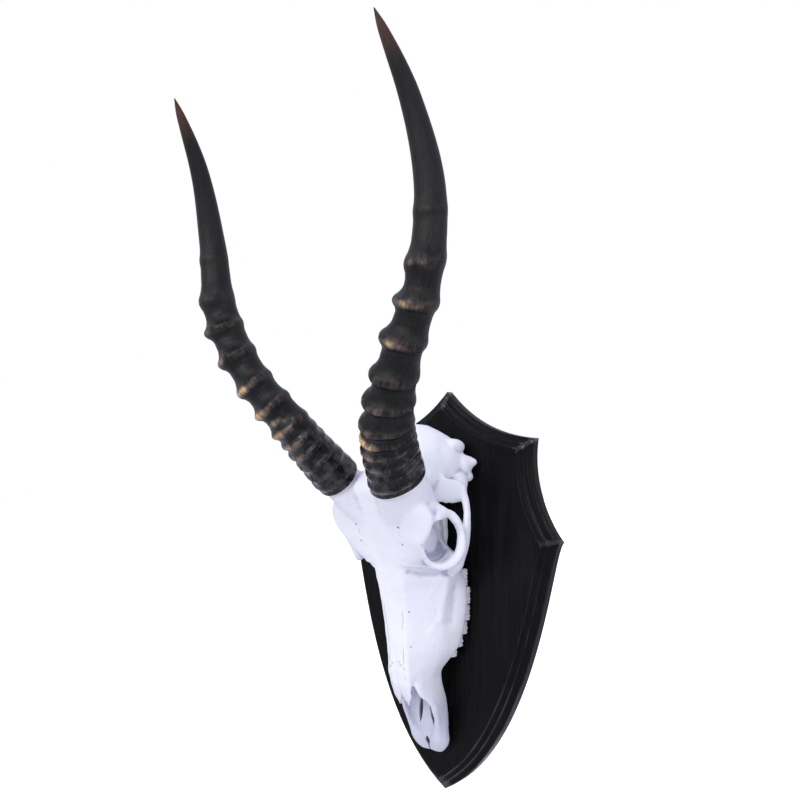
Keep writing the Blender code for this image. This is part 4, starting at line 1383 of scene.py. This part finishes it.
def plaque_ring(inwards):
    """The outline moved inwards, always with the same number of points."""
    middle = np.array(((0.0, PLAQUE_POINT[1] - MIDDLE_SPARE), (0.0, PLAQUE_PEAK[1] + MIDDLE_SPARE)))
    curves = [moved_in(curve, inwards) for curve in plaque_curves()]
    starts = [meeting(curves[0], middle)[0] if inwards else 0.0]
    ends = []
    for curve, following in zip(curves, curves[1:]):
        end, start = meeting(curve, following)
        ends.append(end)
        starts.append(start)
    ends.append(meeting(curves[2], middle)[0] if inwards else len(curves[2]) - 1.0)
    right = []
    for curve, start, end in zip(curves, starts, ends):
        where = np.linspace(start, end, len(curve))[:-1]
        right += list(zip(*(np.interp(where, range(len(curve)), values) for values in curve.T)))
    peak = (0.0, float(np.interp(ends[-1], range(len(curves[2])), curves[2][:, 1])))
    right[0] = (0.0, right[0][1])
    return right + [peak] + mirrored(right[1:])


print("points of the outline:", len(plaque_ring(0.0)))

# %% The moulding
# Each place on the profile: distance in from the edge, and height above the back
PROFILE = ((0.5, 0.0), (0.0, 0.5), (0.0, 1.4), (0.0, 8.2), (0.0, 9.0), (0.25, 9.7), (0.9, 10.1), (2.0, 10.4),
           (3.4, 11.0), (4.5, 11.9), (5.1, 12.7), (5.35, 13.6), (5.5, 15.0), (5.9, 15.7), (6.5, 16.0),
           (8.0, 16.4), (9.2, 17.1), (9.9, 18.0), (10.15, 19.2), (10.35, 20.2), (10.8, 20.8), (11.5, 21.0),
           (12.4, 21.0))
# The rim of the screw's hole would give the whole flat face the painted edge highlight and the
# coat, so this far round it the bend is set flat
HOLE_CALM = 2 * SCREW_HEAD


def build_plaque():
    bm = bmesh.new()
    loft(bm, [[Vector((side, -height, up)) * MM for side, up in plaque_ring(inwards)]
              for inwards, height in PROFILE])
    obj = finish_object("carved_plaque", bm)
    hole = screw_hole_cutter("plaque_screw_hole")
    cut(obj, hole)
    settle(obj, [hole])
    shade(obj, 32)
    store_bend(obj.data, strength=1.3, rounds=0)
    for vertex, item in zip(obj.data.vertices, obj.data.attributes["bend"].data):
        if math.dist((vertex.co.x / MM, vertex.co.z / MM), SCREW_PLACE) < HOLE_CALM:
            item.value = FLAT
    return obj


plaque = build_plaque()
print("plaque faces:", len(plaque.data.polygons))

# %% The screw
# The thread: depth of its valleys as a share of the shank's radius, and the step of half a turn
THREAD_SHARE = 0.8
THREAD_STEP = 0.5
# Length, width and depth of the cross in its head
CROSS = (5.0, 1.1, 4.0)


def build_screw():
    """A countersunk screw with a cross in its head and a thread on its shank."""
    rows = [(SCREW_HEAD - 0.2, SCREW_SUNK), (SCREW_HEAD, SCREW_SUNK + 0.2), (SCREW_HEAD, SCREW_RIM),
            (SCREW_SHANK, SCREW_NECK), (SCREW_SHANK, SCREW_NECK + 2.0)]
    while rows[-1][1] < SCREW_LENGTH - 4:
        depth = rows[-1][1]
        rows += [(SCREW_SHANK * THREAD_SHARE, depth + THREAD_STEP), (SCREW_SHANK, depth + 2 * THREAD_STEP)]
    rows += [(SCREW_SHANK * 0.7, SCREW_LENGTH - 2.0), (0.3, SCREW_LENGTH)]
    bm = bmesh.new()
    loft(bm, [screw_ring(radius, depth, SCREW_SIDES) for radius, depth in rows])
    obj = finish_object("cross_head_screw", bm)
    shade(obj, 40)
    cross = bmesh.new()
    length, width, depth = CROSS
    middle = Matrix.Translation(Vector((SCREW_PLACE[0], -1.0, SCREW_PLACE[1])) * MM)
    for sizes in ((width, depth, length), (length, depth, width)):
        size = Matrix.Diagonal(Vector(sizes) * MM).to_4x4()
        bmesh.ops.create_cube(cross, size=1.0, matrix=middle @ size)
    recess = cutter("cross_recess", cross)
    cut(obj, recess, crossing=True)
    settle(obj, [recess])
    return obj


screw = build_screw()
print("screw faces:", len(screw.data.polygons))

# %% [markdown]
# ## Shader maths as plain expressions
# A material is a web of nodes. A Signal wraps one output socket and knows how to add, subtract
# and multiply, so `0.4 + 0.2 * grain` adds the Math nodes by itself. Every other node comes from
# one method, which takes the node's type, its settings and the values of its sockets.

# %% Signal
class Signal:
    """An output socket that can be used in sums."""

    def __init__(self, finish, socket):
        self.finish = finish
        self.socket = socket

    def maths(self, operation, first, second=None):
        values = {0: first} if second is None else {0: first, 1: second}
        return self.finish.node("ShaderNodeMath", {"operation": operation}, values)

    def __add__(self, other):
        return self.maths("ADD", self, other)

    def __radd__(self, other):
        return self.maths("ADD", other, self)

    def __sub__(self, other):
        return self.maths("SUBTRACT", self, other)

    def __rsub__(self, other):
        return self.maths("SUBTRACT", other, self)

    def __mul__(self, other):
        return self.maths("MULTIPLY", self, other)

    def __rmul__(self, other):
        return self.maths("MULTIPLY", other, self)

    def __abs__(self):
        return self.maths("ABSOLUTE", self)

    def wave(self, operation):
        """The sine or cosine of the signal."""
        return self.maths(operation, self)

    def between(self, low, high):
        """Rises from 0 where the signal is low to 1 where it is high; high may be the smaller one."""
        return self.finish.node("ShaderNodeMapRange", {"interpolation_type": "SMOOTHSTEP", "clamp": True},
                                {"Value": self, "From Min": low, "From Max": high})

    def within(self, begins, complete, fades, ends):
        """1 between the two inner limits, and 0 outside the outer ones."""
        return self.between(begins, complete) * self.between(ends, fades)


print("a signal adds its own nodes")

# %% Finish
class Finish:
    """A material that is being made."""

    def __init__(self, name):
        self.material = bpy.data.materials.new(name)
        self.material.use_nodes = True
        self.tree = self.material.node_tree
        self.shader = self.tree.nodes["Principled BSDF"]

    def plug(self, socket, value):
        if isinstance(value, Signal):
            self.tree.links.new(value.socket, socket)
        elif socket.type == "RGBA":
            socket.default_value = (*value, 1.0)
        else:
            socket.default_value = value

    def node(self, kind, settings, values, output=0):
        """Add one node: its settings first, then what its sockets get."""
        made = self.tree.nodes.new(kind)
        for name, setting in settings.items():
            setattr(made, name, setting)
        for key, value in values.items():
            self.plug(made.inputs[key], value)
        return Signal(self, made.outputs[output])

    def mix(self, mask, first, second):
        """One colour where the mask is 0, the other where it is 1."""
        return self.node("ShaderNodeMix", {"data_type": "RGBA"}, {0: mask, 6: first, 7: second}, 2)

    def spots(self, where, scale, detail=3.0, roughness=0.55, distortion=0.0):
        """Cloudy noise; scale is the number of clouds in a metre."""
        values = {"Vector": where, "Scale": scale, "Detail": detail, "Roughness": roughness,
                  "Distortion": distortion}
        return self.node("ShaderNodeTexNoise", {"noise_dimensions": "3D"}, values)

    def stretched(self, where, size):
        """Coordinates squeezed or stretched along each axis."""
        return self.node("ShaderNodeMapping", {"vector_type": "POINT"}, {"Vector": where, "Scale": size})

    def parts(self, vector):
        """The three parts of a vector as signals."""
        split = self.node("ShaderNodeSeparateXYZ", {}, {0: vector})
        return tuple(Signal(self, output) for output in split.socket.node.outputs)

    def joined(self, x, y, z):
        """A vector of three signals."""
        return self.node("ShaderNodeCombineXYZ", {}, {0: x, 1: y, 2: z})

    def object_place(self):
        return self.node("ShaderNodeTexCoord", {}, {}, "Object")

    def stored(self, name):
        return self.node("ShaderNodeAttribute", {"attribute_name": name}, {}, "Fac")

    def bumped(self, height, distance, strength):
        """A normal bent by a height; distance is the height of 1 in metres."""
        values = {"Height": height, "Distance": distance, "Strength": strength}
        return self.node("ShaderNodeBump", {}, values)

    def steady(self, values):
        """What is the same all over the surface, by the names of the shader's sockets."""
        for name, value in values.items():
            self.plug(self.shader.inputs[name], value)

    def wear(self, **values):
        """Give the shader what varies over the surface, and return the material."""
        for name, value in values.items():
            self.plug(self.shader.inputs[name.replace("_", " ").title()], value)
        return self.material


print("ready to make finishes")

# %% [markdown]
# ## Bleached bone
# Boiled and bleached bone is a cool white. It isn't even: blotches are a little darker and bluer,
# the creases get painted shade, darker and bluer, the snout's end gets painted shade, greyer and
# bluer, and the sutures, where two bones meet, are fine wandering lines. The lines are worked out
# from the place on the skull, bent by noise.

# %% Sutures
# Colour of a suture, and half the width of its line in metres
SUTURE = (0.16, 0.15, 0.22)
LINE = 0.0005
# Depth where the front of the face begins and is reached, and heights where the seam between
# the nasal bones fades
FACE_FRONT = (-0.070, -0.078)
SEAM_TOP = (-0.045, -0.055)
# The nasal bones' outer edges: distance from the middle, how much further out they run higher
# up, and the heights between which they do
NASAL_EDGE, EDGE_SPREAD, SPREAD_UP = 0.0078, 0.0045, (-0.04, 0.01)
# Slanting sutures: a place on the line, as (side or depth, height), and its slope
ZIGZAG = ((0.009, -0.062), -0.9)
CHEEK = ((-0.062, -0.002), 0.55)
SNOUT = ((-0.050, -0.098), -0.8)
# Where each line begins, is complete, fades and ends: the nasal edge by height, the zigzag by
# distance from the middle, and those of the cheek and the snout by depth
EDGE_REACH = (-0.086, -0.080, -0.010, 0.004)
ZIGZAG_REACH = (0.001, 0.003, 0.011, 0.013)
CHEEK_REACH = (-0.078, -0.074, -0.056, -0.052)
SNOUT_REACH = (-0.062, -0.058, -0.030, -0.026)


def wandering(finish, spot, signal, scale, reach):
    """A coordinate that wanders by some metres to either side."""
    return signal + reach * 2 * (finish.spots(spot, scale, 4.0, 0.7) - 0.5)


def line(finish, spot, signal, scale, reach):
    """A fine wandering line where a signal is 0."""
    return abs(wandering(finish, spot, signal, scale, reach)).between(LINE, 0.0)


def slanting(up, other, suture):
    """0 on the slanting line of a suture."""
    (start, height), slope = suture
    return up - height - (other - start) * slope


def suture_lines(finish, spot, side, deep, up):
    """Where two bones of the face meet: up to 1 on the line, 0 beside it."""
    front = deep.between(*FACE_FRONT)
    broken = finish.spots(spot, 70.0, 2.0).between(0.42, 0.58)
    seam = wandering(finish, spot, side, 120.0, 0.0007).between(LINE, 0.0) * up.between(*SEAM_TOP) * front
    edge = side - NASAL_EDGE - up.between(*SPREAD_UP) * EDGE_SPREAD
    edge = line(finish, spot, edge, 95.0, 0.0030) * up.within(*EDGE_REACH) * front
    zigzag = line(finish, spot, slanting(up, side, ZIGZAG), 420.0, 0.0055) * side.within(*ZIGZAG_REACH)
    cheek = line(finish, spot, slanting(up, deep, CHEEK), 230.0, 0.0024) * deep.within(*CHEEK_REACH)
    snout = line(finish, spot, slanting(up, deep, SNOUT), 230.0, 0.0018) * deep.within(*SNOUT_REACH)
    sides = 0.75 * edge + front * zigzag + 0.3 * cheek + 0.5 * snout
    faint = 0.3 * seam + sides * (0.1 + 0.9 * broken)
    return faint.between(0.0, 1.0) * 0.8


print("sutures on each side: 4, and the seam in the middle")

# %% Bone
BONE_WHITE = (0.86, 0.865, 0.89)
BONE_WARM = (0.85, 0.85, 0.855)
# Colour of the random blotches, and of the painted shade in the creases
BONE_BLOTCH_AND_SHADE = (0.42, 0.42, 0.58)
# Painted shade at the snout's end, greyer and bluer; heights where it begins and where it is complete
SNOUT_PAINTED_SHADE = (0.60, 0.61, 0.70)
SNOUT_SHADE_UP = (-0.075, -0.115)
# How many clouds, blotches, grains and pits there are in a metre
CLOUDS, BLOTCHES, BONE_GRAIN, PITS = 38.0, 11.0, 900.0, 620.0


def bone_finish():
    finish = Finish("bleached_bone")
    spot = finish.object_place()
    side, deep, up = finish.parts(spot)
    side = abs(side)
    bend = finish.stored("bend")
    clouds = finish.spots(spot, CLOUDS, 4.0)
    blotches = finish.spots(spot, BLOTCHES, 2.0)
    fine = finish.spots(spot, BONE_GRAIN, 3.0, 0.7)
    cells = finish.node("ShaderNodeTexVoronoi", {"feature": "F1"}, {"Vector": spot, "Scale": PITS})
    pits = cells.between(0.22, 0.06) * clouds.between(0.45, 0.62)
    lines = suture_lines(finish, spot, side, deep, up)
    colour = finish.mix(clouds.between(0.35, 0.7) * 0.35, BONE_WHITE, BONE_WARM)
    colour = finish.mix(blotches.between(0.45, 0.75) * 0.15, colour, BONE_BLOTCH_AND_SHADE)
    # Painted shade: the creases are darker and bluer
    colour = finish.mix(bend.between(0.46, 0.12) * 0.8, colour, BONE_BLOTCH_AND_SHADE)
    # Painted shade: the snout's end is greyer and bluer
    colour = finish.mix(up.between(*SNOUT_SHADE_UP) * 0.9, colour, SNOUT_PAINTED_SHADE)
    colour = finish.mix(pits * 0.22, colour, SUTURE)
    colour = finish.mix(lines, colour, SUTURE)
    height = 0.25 * fine + 0.6 * clouds - 1.0 * pits - 1.4 * lines
    return finish.wear(base_color=colour, roughness=0.46 + 0.14 * fine + 0.1 * lines,
                       normal=finish.bumped(height, 0.0004, 0.8))


bone = bone_finish()
print("bone nodes:", len(bone.node_tree.nodes))

# %% [markdown]
# ## Enamel
# Enamel is harder and shinier than bone, and its grooves and the hollow of its worn biting face
# are darker and browner. The stored bend finds the grooves.

# %% Enamel of the teeth
ENAMEL_WHITE = (0.80, 0.80, 0.84)
ENAMEL_GREY = (0.66, 0.64, 0.68)
# Darker brown of the grooves and of the biting face's hollow
ENAMEL_GROOVE_DARK = (0.20, 0.17, 0.17)
# The grain runs along the tooth: how much it is stretched along each axis
ENAMEL_STRETCH = (1.0, 0.3, 1.0)


def enamel_finish():
    finish = Finish("tooth_enamel")
    spot = finish.object_place()
    fine = finish.spots(finish.stretched(spot, ENAMEL_STRETCH), 700.0, 3.0)
    groove_dark = finish.stored("bend").between(0.5, 0.2) * 0.85
    colour = finish.mix(finish.spots(spot, 90.0, 3.0).between(0.35, 0.7) * 0.4, ENAMEL_WHITE, ENAMEL_GREY)
    colour = finish.mix(groove_dark, colour, ENAMEL_GROOVE_DARK)
    return finish.wear(base_color=colour, roughness=0.3 + 0.2 * fine, normal=finish.bumped(fine, 0.0002, 0.6))


enamel = enamel_finish()
print("enamel nodes:", len(enamel.node_tree.nodes))

# %% [markdown]
# ## Horn
# Keratin grows in fine fibres along the horn. Its black is deepest between the rings, the crests
# are rubbed brown and cream in places, and the lowest rings are glossy. The fibres follow the
# horn's own wrap: the angle goes round as a sine and a cosine, so the pattern closes without a
# seam.

# %% Black keratin
HORN_BLACK = (0.0018, 0.0018, 0.0016)
HORN_GREY = (0.0098, 0.0108, 0.0082)
HORN_BROWN = (0.075, 0.050, 0.036)
HORN_PALE = (0.17, 0.125, 0.095)
HORN_CREAM = (0.62, 0.40, 0.17)
TIP_BROWN = (0.085, 0.038, 0.020)
HORN_SHINE = 0.24
GLOSS_ROUGHNESS = 0.12
# Distances from the base, in metres, between which the gloss fades and the tip turns brown
GLOSS_ALONG = (0.085, 0.03)
TIP_ALONG = (0.335, 0.372)
# How often the fibres and the patches change along the horn, for each metre of it
FIBRES_ALONG, PATCHES_ALONG = 6.0, 40.0


def horn_finish():
    finish = Finish("black_keratin")
    wrapped, length = finish.parts(finish.node("ShaderNodeUVMap", {"uv_map": "wrap"}, {}))[:2]
    turn = wrapped * math.tau
    round_x, round_y = turn.wave("COSINE"), turn.wave("SINE")
    fibres_at = finish.joined(round_x, round_y, length * FIBRES_ALONG)
    patches_at = finish.joined(round_x, round_y, length * PATCHES_ALONG)
    fibres = finish.spots(fibres_at, 26.0, 4.0, 0.65)
    strands = finish.spots(fibres_at, 9.0, 2.0)
    patches = finish.spots(patches_at, 2.2, 4.0, 0.6)
    grain = finish.spots(finish.object_place(), 1100.0, 2.0)
    bend = finish.stored("bend")
    along = finish.stored("along")
    rubbed = finish.stored("rubbed") * (0.55 + 0.9 * patches.between(0.3, 0.7))
    worn = (bend.between(0.52, 0.72) + finish.stored("crest") * 0.4) * patches.between(0.42, 0.6)
    pale = rubbed.between(0.10, 0.4) * (0.6 + 0.4 * strands.between(0.4, 0.6))
    cream = rubbed.between(0.35, 0.8) * (0.3 + 0.7 * strands.between(0.36, 0.52))
    colour = finish.mix(fibres.between(0.4, 0.65), HORN_BLACK, HORN_GREY)
    colour = finish.mix(worn * 0.3, colour, HORN_BROWN)
    colour = finish.mix(bend.between(0.62, 0.85) * strands.between(0.5, 0.7) * 0.25, colour, HORN_PALE)
    colour = finish.mix(bend.between(0.46, 0.25) * 0.7, colour, HORN_BLACK)
    colour = finish.mix(pale, colour, HORN_PALE)
    colour = finish.mix(cream, colour, HORN_CREAM)
    colour = finish.mix(along.between(*TIP_ALONG) * 0.8, colour, TIP_BROWN)
    glossy = along.between(*GLOSS_ALONG)
    roughness = (0.2 + 0.24 * fibres + 0.12 * patches) * (1.0 - 0.5 * glossy)
    height = 0.5 * fibres + 0.6 * strands + 0.2 * grain
    finish.steady({"Specular IOR Level": HORN_SHINE, "Coat Roughness": GLOSS_ROUGHNESS})
    return finish.wear(base_color=colour, roughness=roughness, normal=finish.bumped(height, 0.0007, 0.9),
                       coat_weight=glossy * patches.between(0.46, 0.6) * 0.8)


keratin = horn_finish()
print("keratin nodes:", len(keratin.node_tree.nodes))

# %% [markdown]
# ## Stained wood and zinc
# The plaque is stained black and varnished to a satin sheen, and its open grain runs upwards.
# Noise that is stretched a lot along the height gives the pores. Sharp edges get a painted
# highlight, a little paler, and a glossier coat, where the stored bend finds them. The screw is
# zinc plated.

# %% Black stained wood
WOOD_BLACK = (0.0014, 0.0014, 0.0013)
WOOD_GREY = (0.0045, 0.0044, 0.0042)
WOOD_BROWN = (0.008, 0.0072, 0.0066)
# Painted highlight on the sharp edges, a pale lilac
EDGE_PAINTED_HIGHLIGHT = (0.20, 0.20, 0.25)
WOOD_SHINE = 0.12
VARNISH_ROUGHNESS = 0.2
# How much the grain, the figure and the pores are stretched along the height, as a share of
# their fineness, and how fine they are, in clouds per metre
GRAIN, FIGURE, PORES = (0.035, 420.0), (0.16, 34.0), (0.02, 1500.0)


def wood_finish():
    finish = Finish("black_stained_wood")
    spot = finish.object_place()

    def streaks(kind, *looks):
        share, fineness = kind
        return finish.spots(finish.stretched(spot, (1.0, 1.0, share)), fineness, *looks)

    grain = streaks(GRAIN, 4.0, 0.6, 0.4)
    figure = streaks(FIGURE, 3.0, 0.5, 1.2)
    pores = streaks(PORES, 2.0).between(0.60, 0.70)
    rub_and_highlight_patches = finish.spots(spot, 18.0, 5.0, 0.6)
    colour = finish.mix(grain.between(0.35, 0.7), WOOD_BLACK, WOOD_GREY)
    colour = finish.mix(figure.between(0.5, 0.7) * 0.5, colour, WOOD_BROWN)
    edge = finish.stored("bend").between(0.58, 0.8) * rub_and_highlight_patches.between(0.35, 0.65)
    # Painted highlight: the sharp edges are a little paler; the same mask gives the coat
    colour = finish.mix(edge * 0.1, colour, EDGE_PAINTED_HIGHLIGHT)
    height = 0.4 * grain - 1.0 * pores + 0.3 * figure
    finish.steady({"Specular IOR Level": WOOD_SHINE, "Coat Roughness": VARNISH_ROUGHNESS})
    return finish.wear(base_color=colour, roughness=0.34 + 0.12 * rub_and_highlight_patches + 0.14 * pores, coat_weight=edge,
                       normal=finish.bumped(height, 0.0003, 0.7))


wood = wood_finish()
print("wood nodes:", len(wood.node_tree.nodes))

# %% Zinc of the screw
ZINC_DARK = (0.50, 0.50, 0.50)
ZINC_LIGHT = (0.62, 0.61, 0.58)


def zinc_finish():
    finish = Finish("zinc_plated_steel")
    clouds = finish.spots(finish.object_place(), 500.0, 3.0)
    finish.steady({"Metallic": 1.0})
    return finish.wear(base_color=finish.mix(clouds, ZINC_DARK, ZINC_LIGHT), roughness=0.25 + 0.2 * clouds)


zinc = zinc_finish()
print("zinc nodes:", len(zinc.node_tree.nodes))

# %% [markdown]
# ## Put the pieces in the places of their solids
# Each finished mesh stands for one solid, so the solid is hidden and the mesh, with its
# material, rides where it did.

# %% Materials, riding and replacing
def dress(piece, node, material):
    piece.data.materials.clear()
    piece.data.materials.append(material)
    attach(piece, "root")
    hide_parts(node)


dress(skull, "skull", bone)
dress(plaque, "shield_plaque", wood)
dress(screw, "mounting_screw", zinc)
for word, horn in horns.items():
    dress(horn, f"horn_{word}", keratin)
for node, tooth in teeth.items():
    dress(tooth, node, enamel)
print("dressed pieces:", 3 + len(horns) + len(teeth))

# %% [markdown]
# ## Floor, light and camera
# The part is shown as a shop would show it. A white surround casts a cool light from all round,
# which gives the bone its lilac shadows. A soft lamp in front adds the main light, and two
# smaller ones, above and on the right, add glints. The camera is a little below the middle of
# the horns, to the object's left, and looks slightly upwards.

# %% Floor
FLOOR_UP = -0.30
FLOOR_HALF = 6.0
PAINT = ((0.90, 0.90, 0.91), (0.93, 0.93, 0.93))
PAINT_GLOW = 0.8


def build_floor():
    bm = bmesh.new()
    at = Matrix.Translation((0, 0, FLOOR_UP))
    bmesh.ops.create_grid(bm, x_segments=1, y_segments=1, size=FLOOR_HALF, matrix=at)
    floor = finish_object("studio_floor", bm)
    finish = Finish("pale_paint")
    shade_of_paint = finish.mix(finish.spots(finish.object_place(), 4.0, 2.0), *PAINT)
    finish.steady({"Emission Strength": PAINT_GLOW, "Roughness": 0.8, "Emission Color": (1.0, 1.0, 1.0)})
    floor.data.materials.append(finish.wear(base_color=shade_of_paint))
    floor.visible_diffuse = False
    floor.visible_glossy = False


build_floor()
print("floor at", FLOOR_UP, "m")

# %% Lamps
# Each lamp's name, place, size, power and colour, and the point that all of them face
LAMPS = (
    ("key_light", (0.1, -2.1, 0.8), 0.6, 17.0, (1.0, 0.99, 0.96)),
    ("top_light", (0.05, -1.3, 1.9), 0.35, 8.0, (0.90, 0.90, 1.0)),
    ("edge_light", (1.9, -0.5, 0.55), 0.22, 6.0, (0.88, 0.88, 1.0)),
)
LAMPS_FACE = Vector((0.0, -0.08, 0.05))


def add_lamp(name, at, size, power, colour):
    lamp = bpy.data.lights.new(name, "AREA")
    lamp.shape = "DISK"
    lamp.size = size
    lamp.energy = power
    lamp.color = colour
    obj = bpy.data.objects.new(name, lamp)
    obj.location = at
    obj.rotation_euler = (LAMPS_FACE - Vector(at)).to_track_quat("-Z", "Y").to_euler()
    bpy.context.collection.objects.link(obj)


for row in LAMPS:
    add_lamp(*row)
print("lamps:", len(LAMPS))

# %% White surround
# How bright the surround looks, and the colour and strength of the light that it casts
SEEN = (1.0, 1.0, 1.0, 1.0), 1.0
CAST = (0.82, 0.83, 1.0, 1.0), 0.82


def add_world():
    world = bpy.data.worlds.new("white_surround")
    world.use_nodes = True
    tree = world.node_tree
    cast = tree.nodes["Background"]
    seen = tree.nodes.new("ShaderNodeBackground")
    for node, (colour, strength) in ((cast, CAST), (seen, SEEN)):
        node.inputs["Color"].default_value = colour
        node.inputs["Strength"].default_value = strength
    path = tree.nodes.new("ShaderNodeLightPath")
    blend = tree.nodes.new("ShaderNodeMixShader")
    tree.links.new(path.outputs["Is Camera Ray"], blend.inputs[0])
    tree.links.new(cast.outputs[0], blend.inputs[1])
    tree.links.new(seen.outputs[0], blend.inputs[2])
    tree.links.new(blend.outputs[0], tree.nodes["World Output"].inputs[0])
    bpy.context.scene.world = world


add_world()
bpy.context.scene.view_settings.view_transform = "Standard"
print("surround:", bpy.context.scene.world.name)

# %% Camera
PHOTO_PIXELS = 800
FOCAL_PIXELS = 782
SENSOR = 36.0
CAMERA_AT = (0.443, -0.641, 0.129)
CAMERA_YAW = math.radians(38.5)
CAMERA_PITCH = math.radians(3.9)
CAMERA_ROLL = math.radians(0.5)


def add_camera():
    lens = bpy.data.cameras.new("photo_camera")
    lens.sensor_width = SENSOR
    lens.lens = SENSOR * FOCAL_PIXELS / PHOTO_PIXELS
    camera = bpy.data.objects.new("photo_camera", lens)
    turn = Matrix.Rotation(CAMERA_YAW, 4, "Z") @ Matrix.Rotation(math.pi / 2 + CAMERA_PITCH, 4, "X")
    camera.matrix_world = Matrix.Translation(CAMERA_AT) @ turn @ Matrix.Rotation(CAMERA_ROLL, 4, "Z")
    bpy.context.collection.objects.link(camera)
    bpy.context.scene.camera = camera


add_camera()
print("camera at", CAMERA_AT, "m")
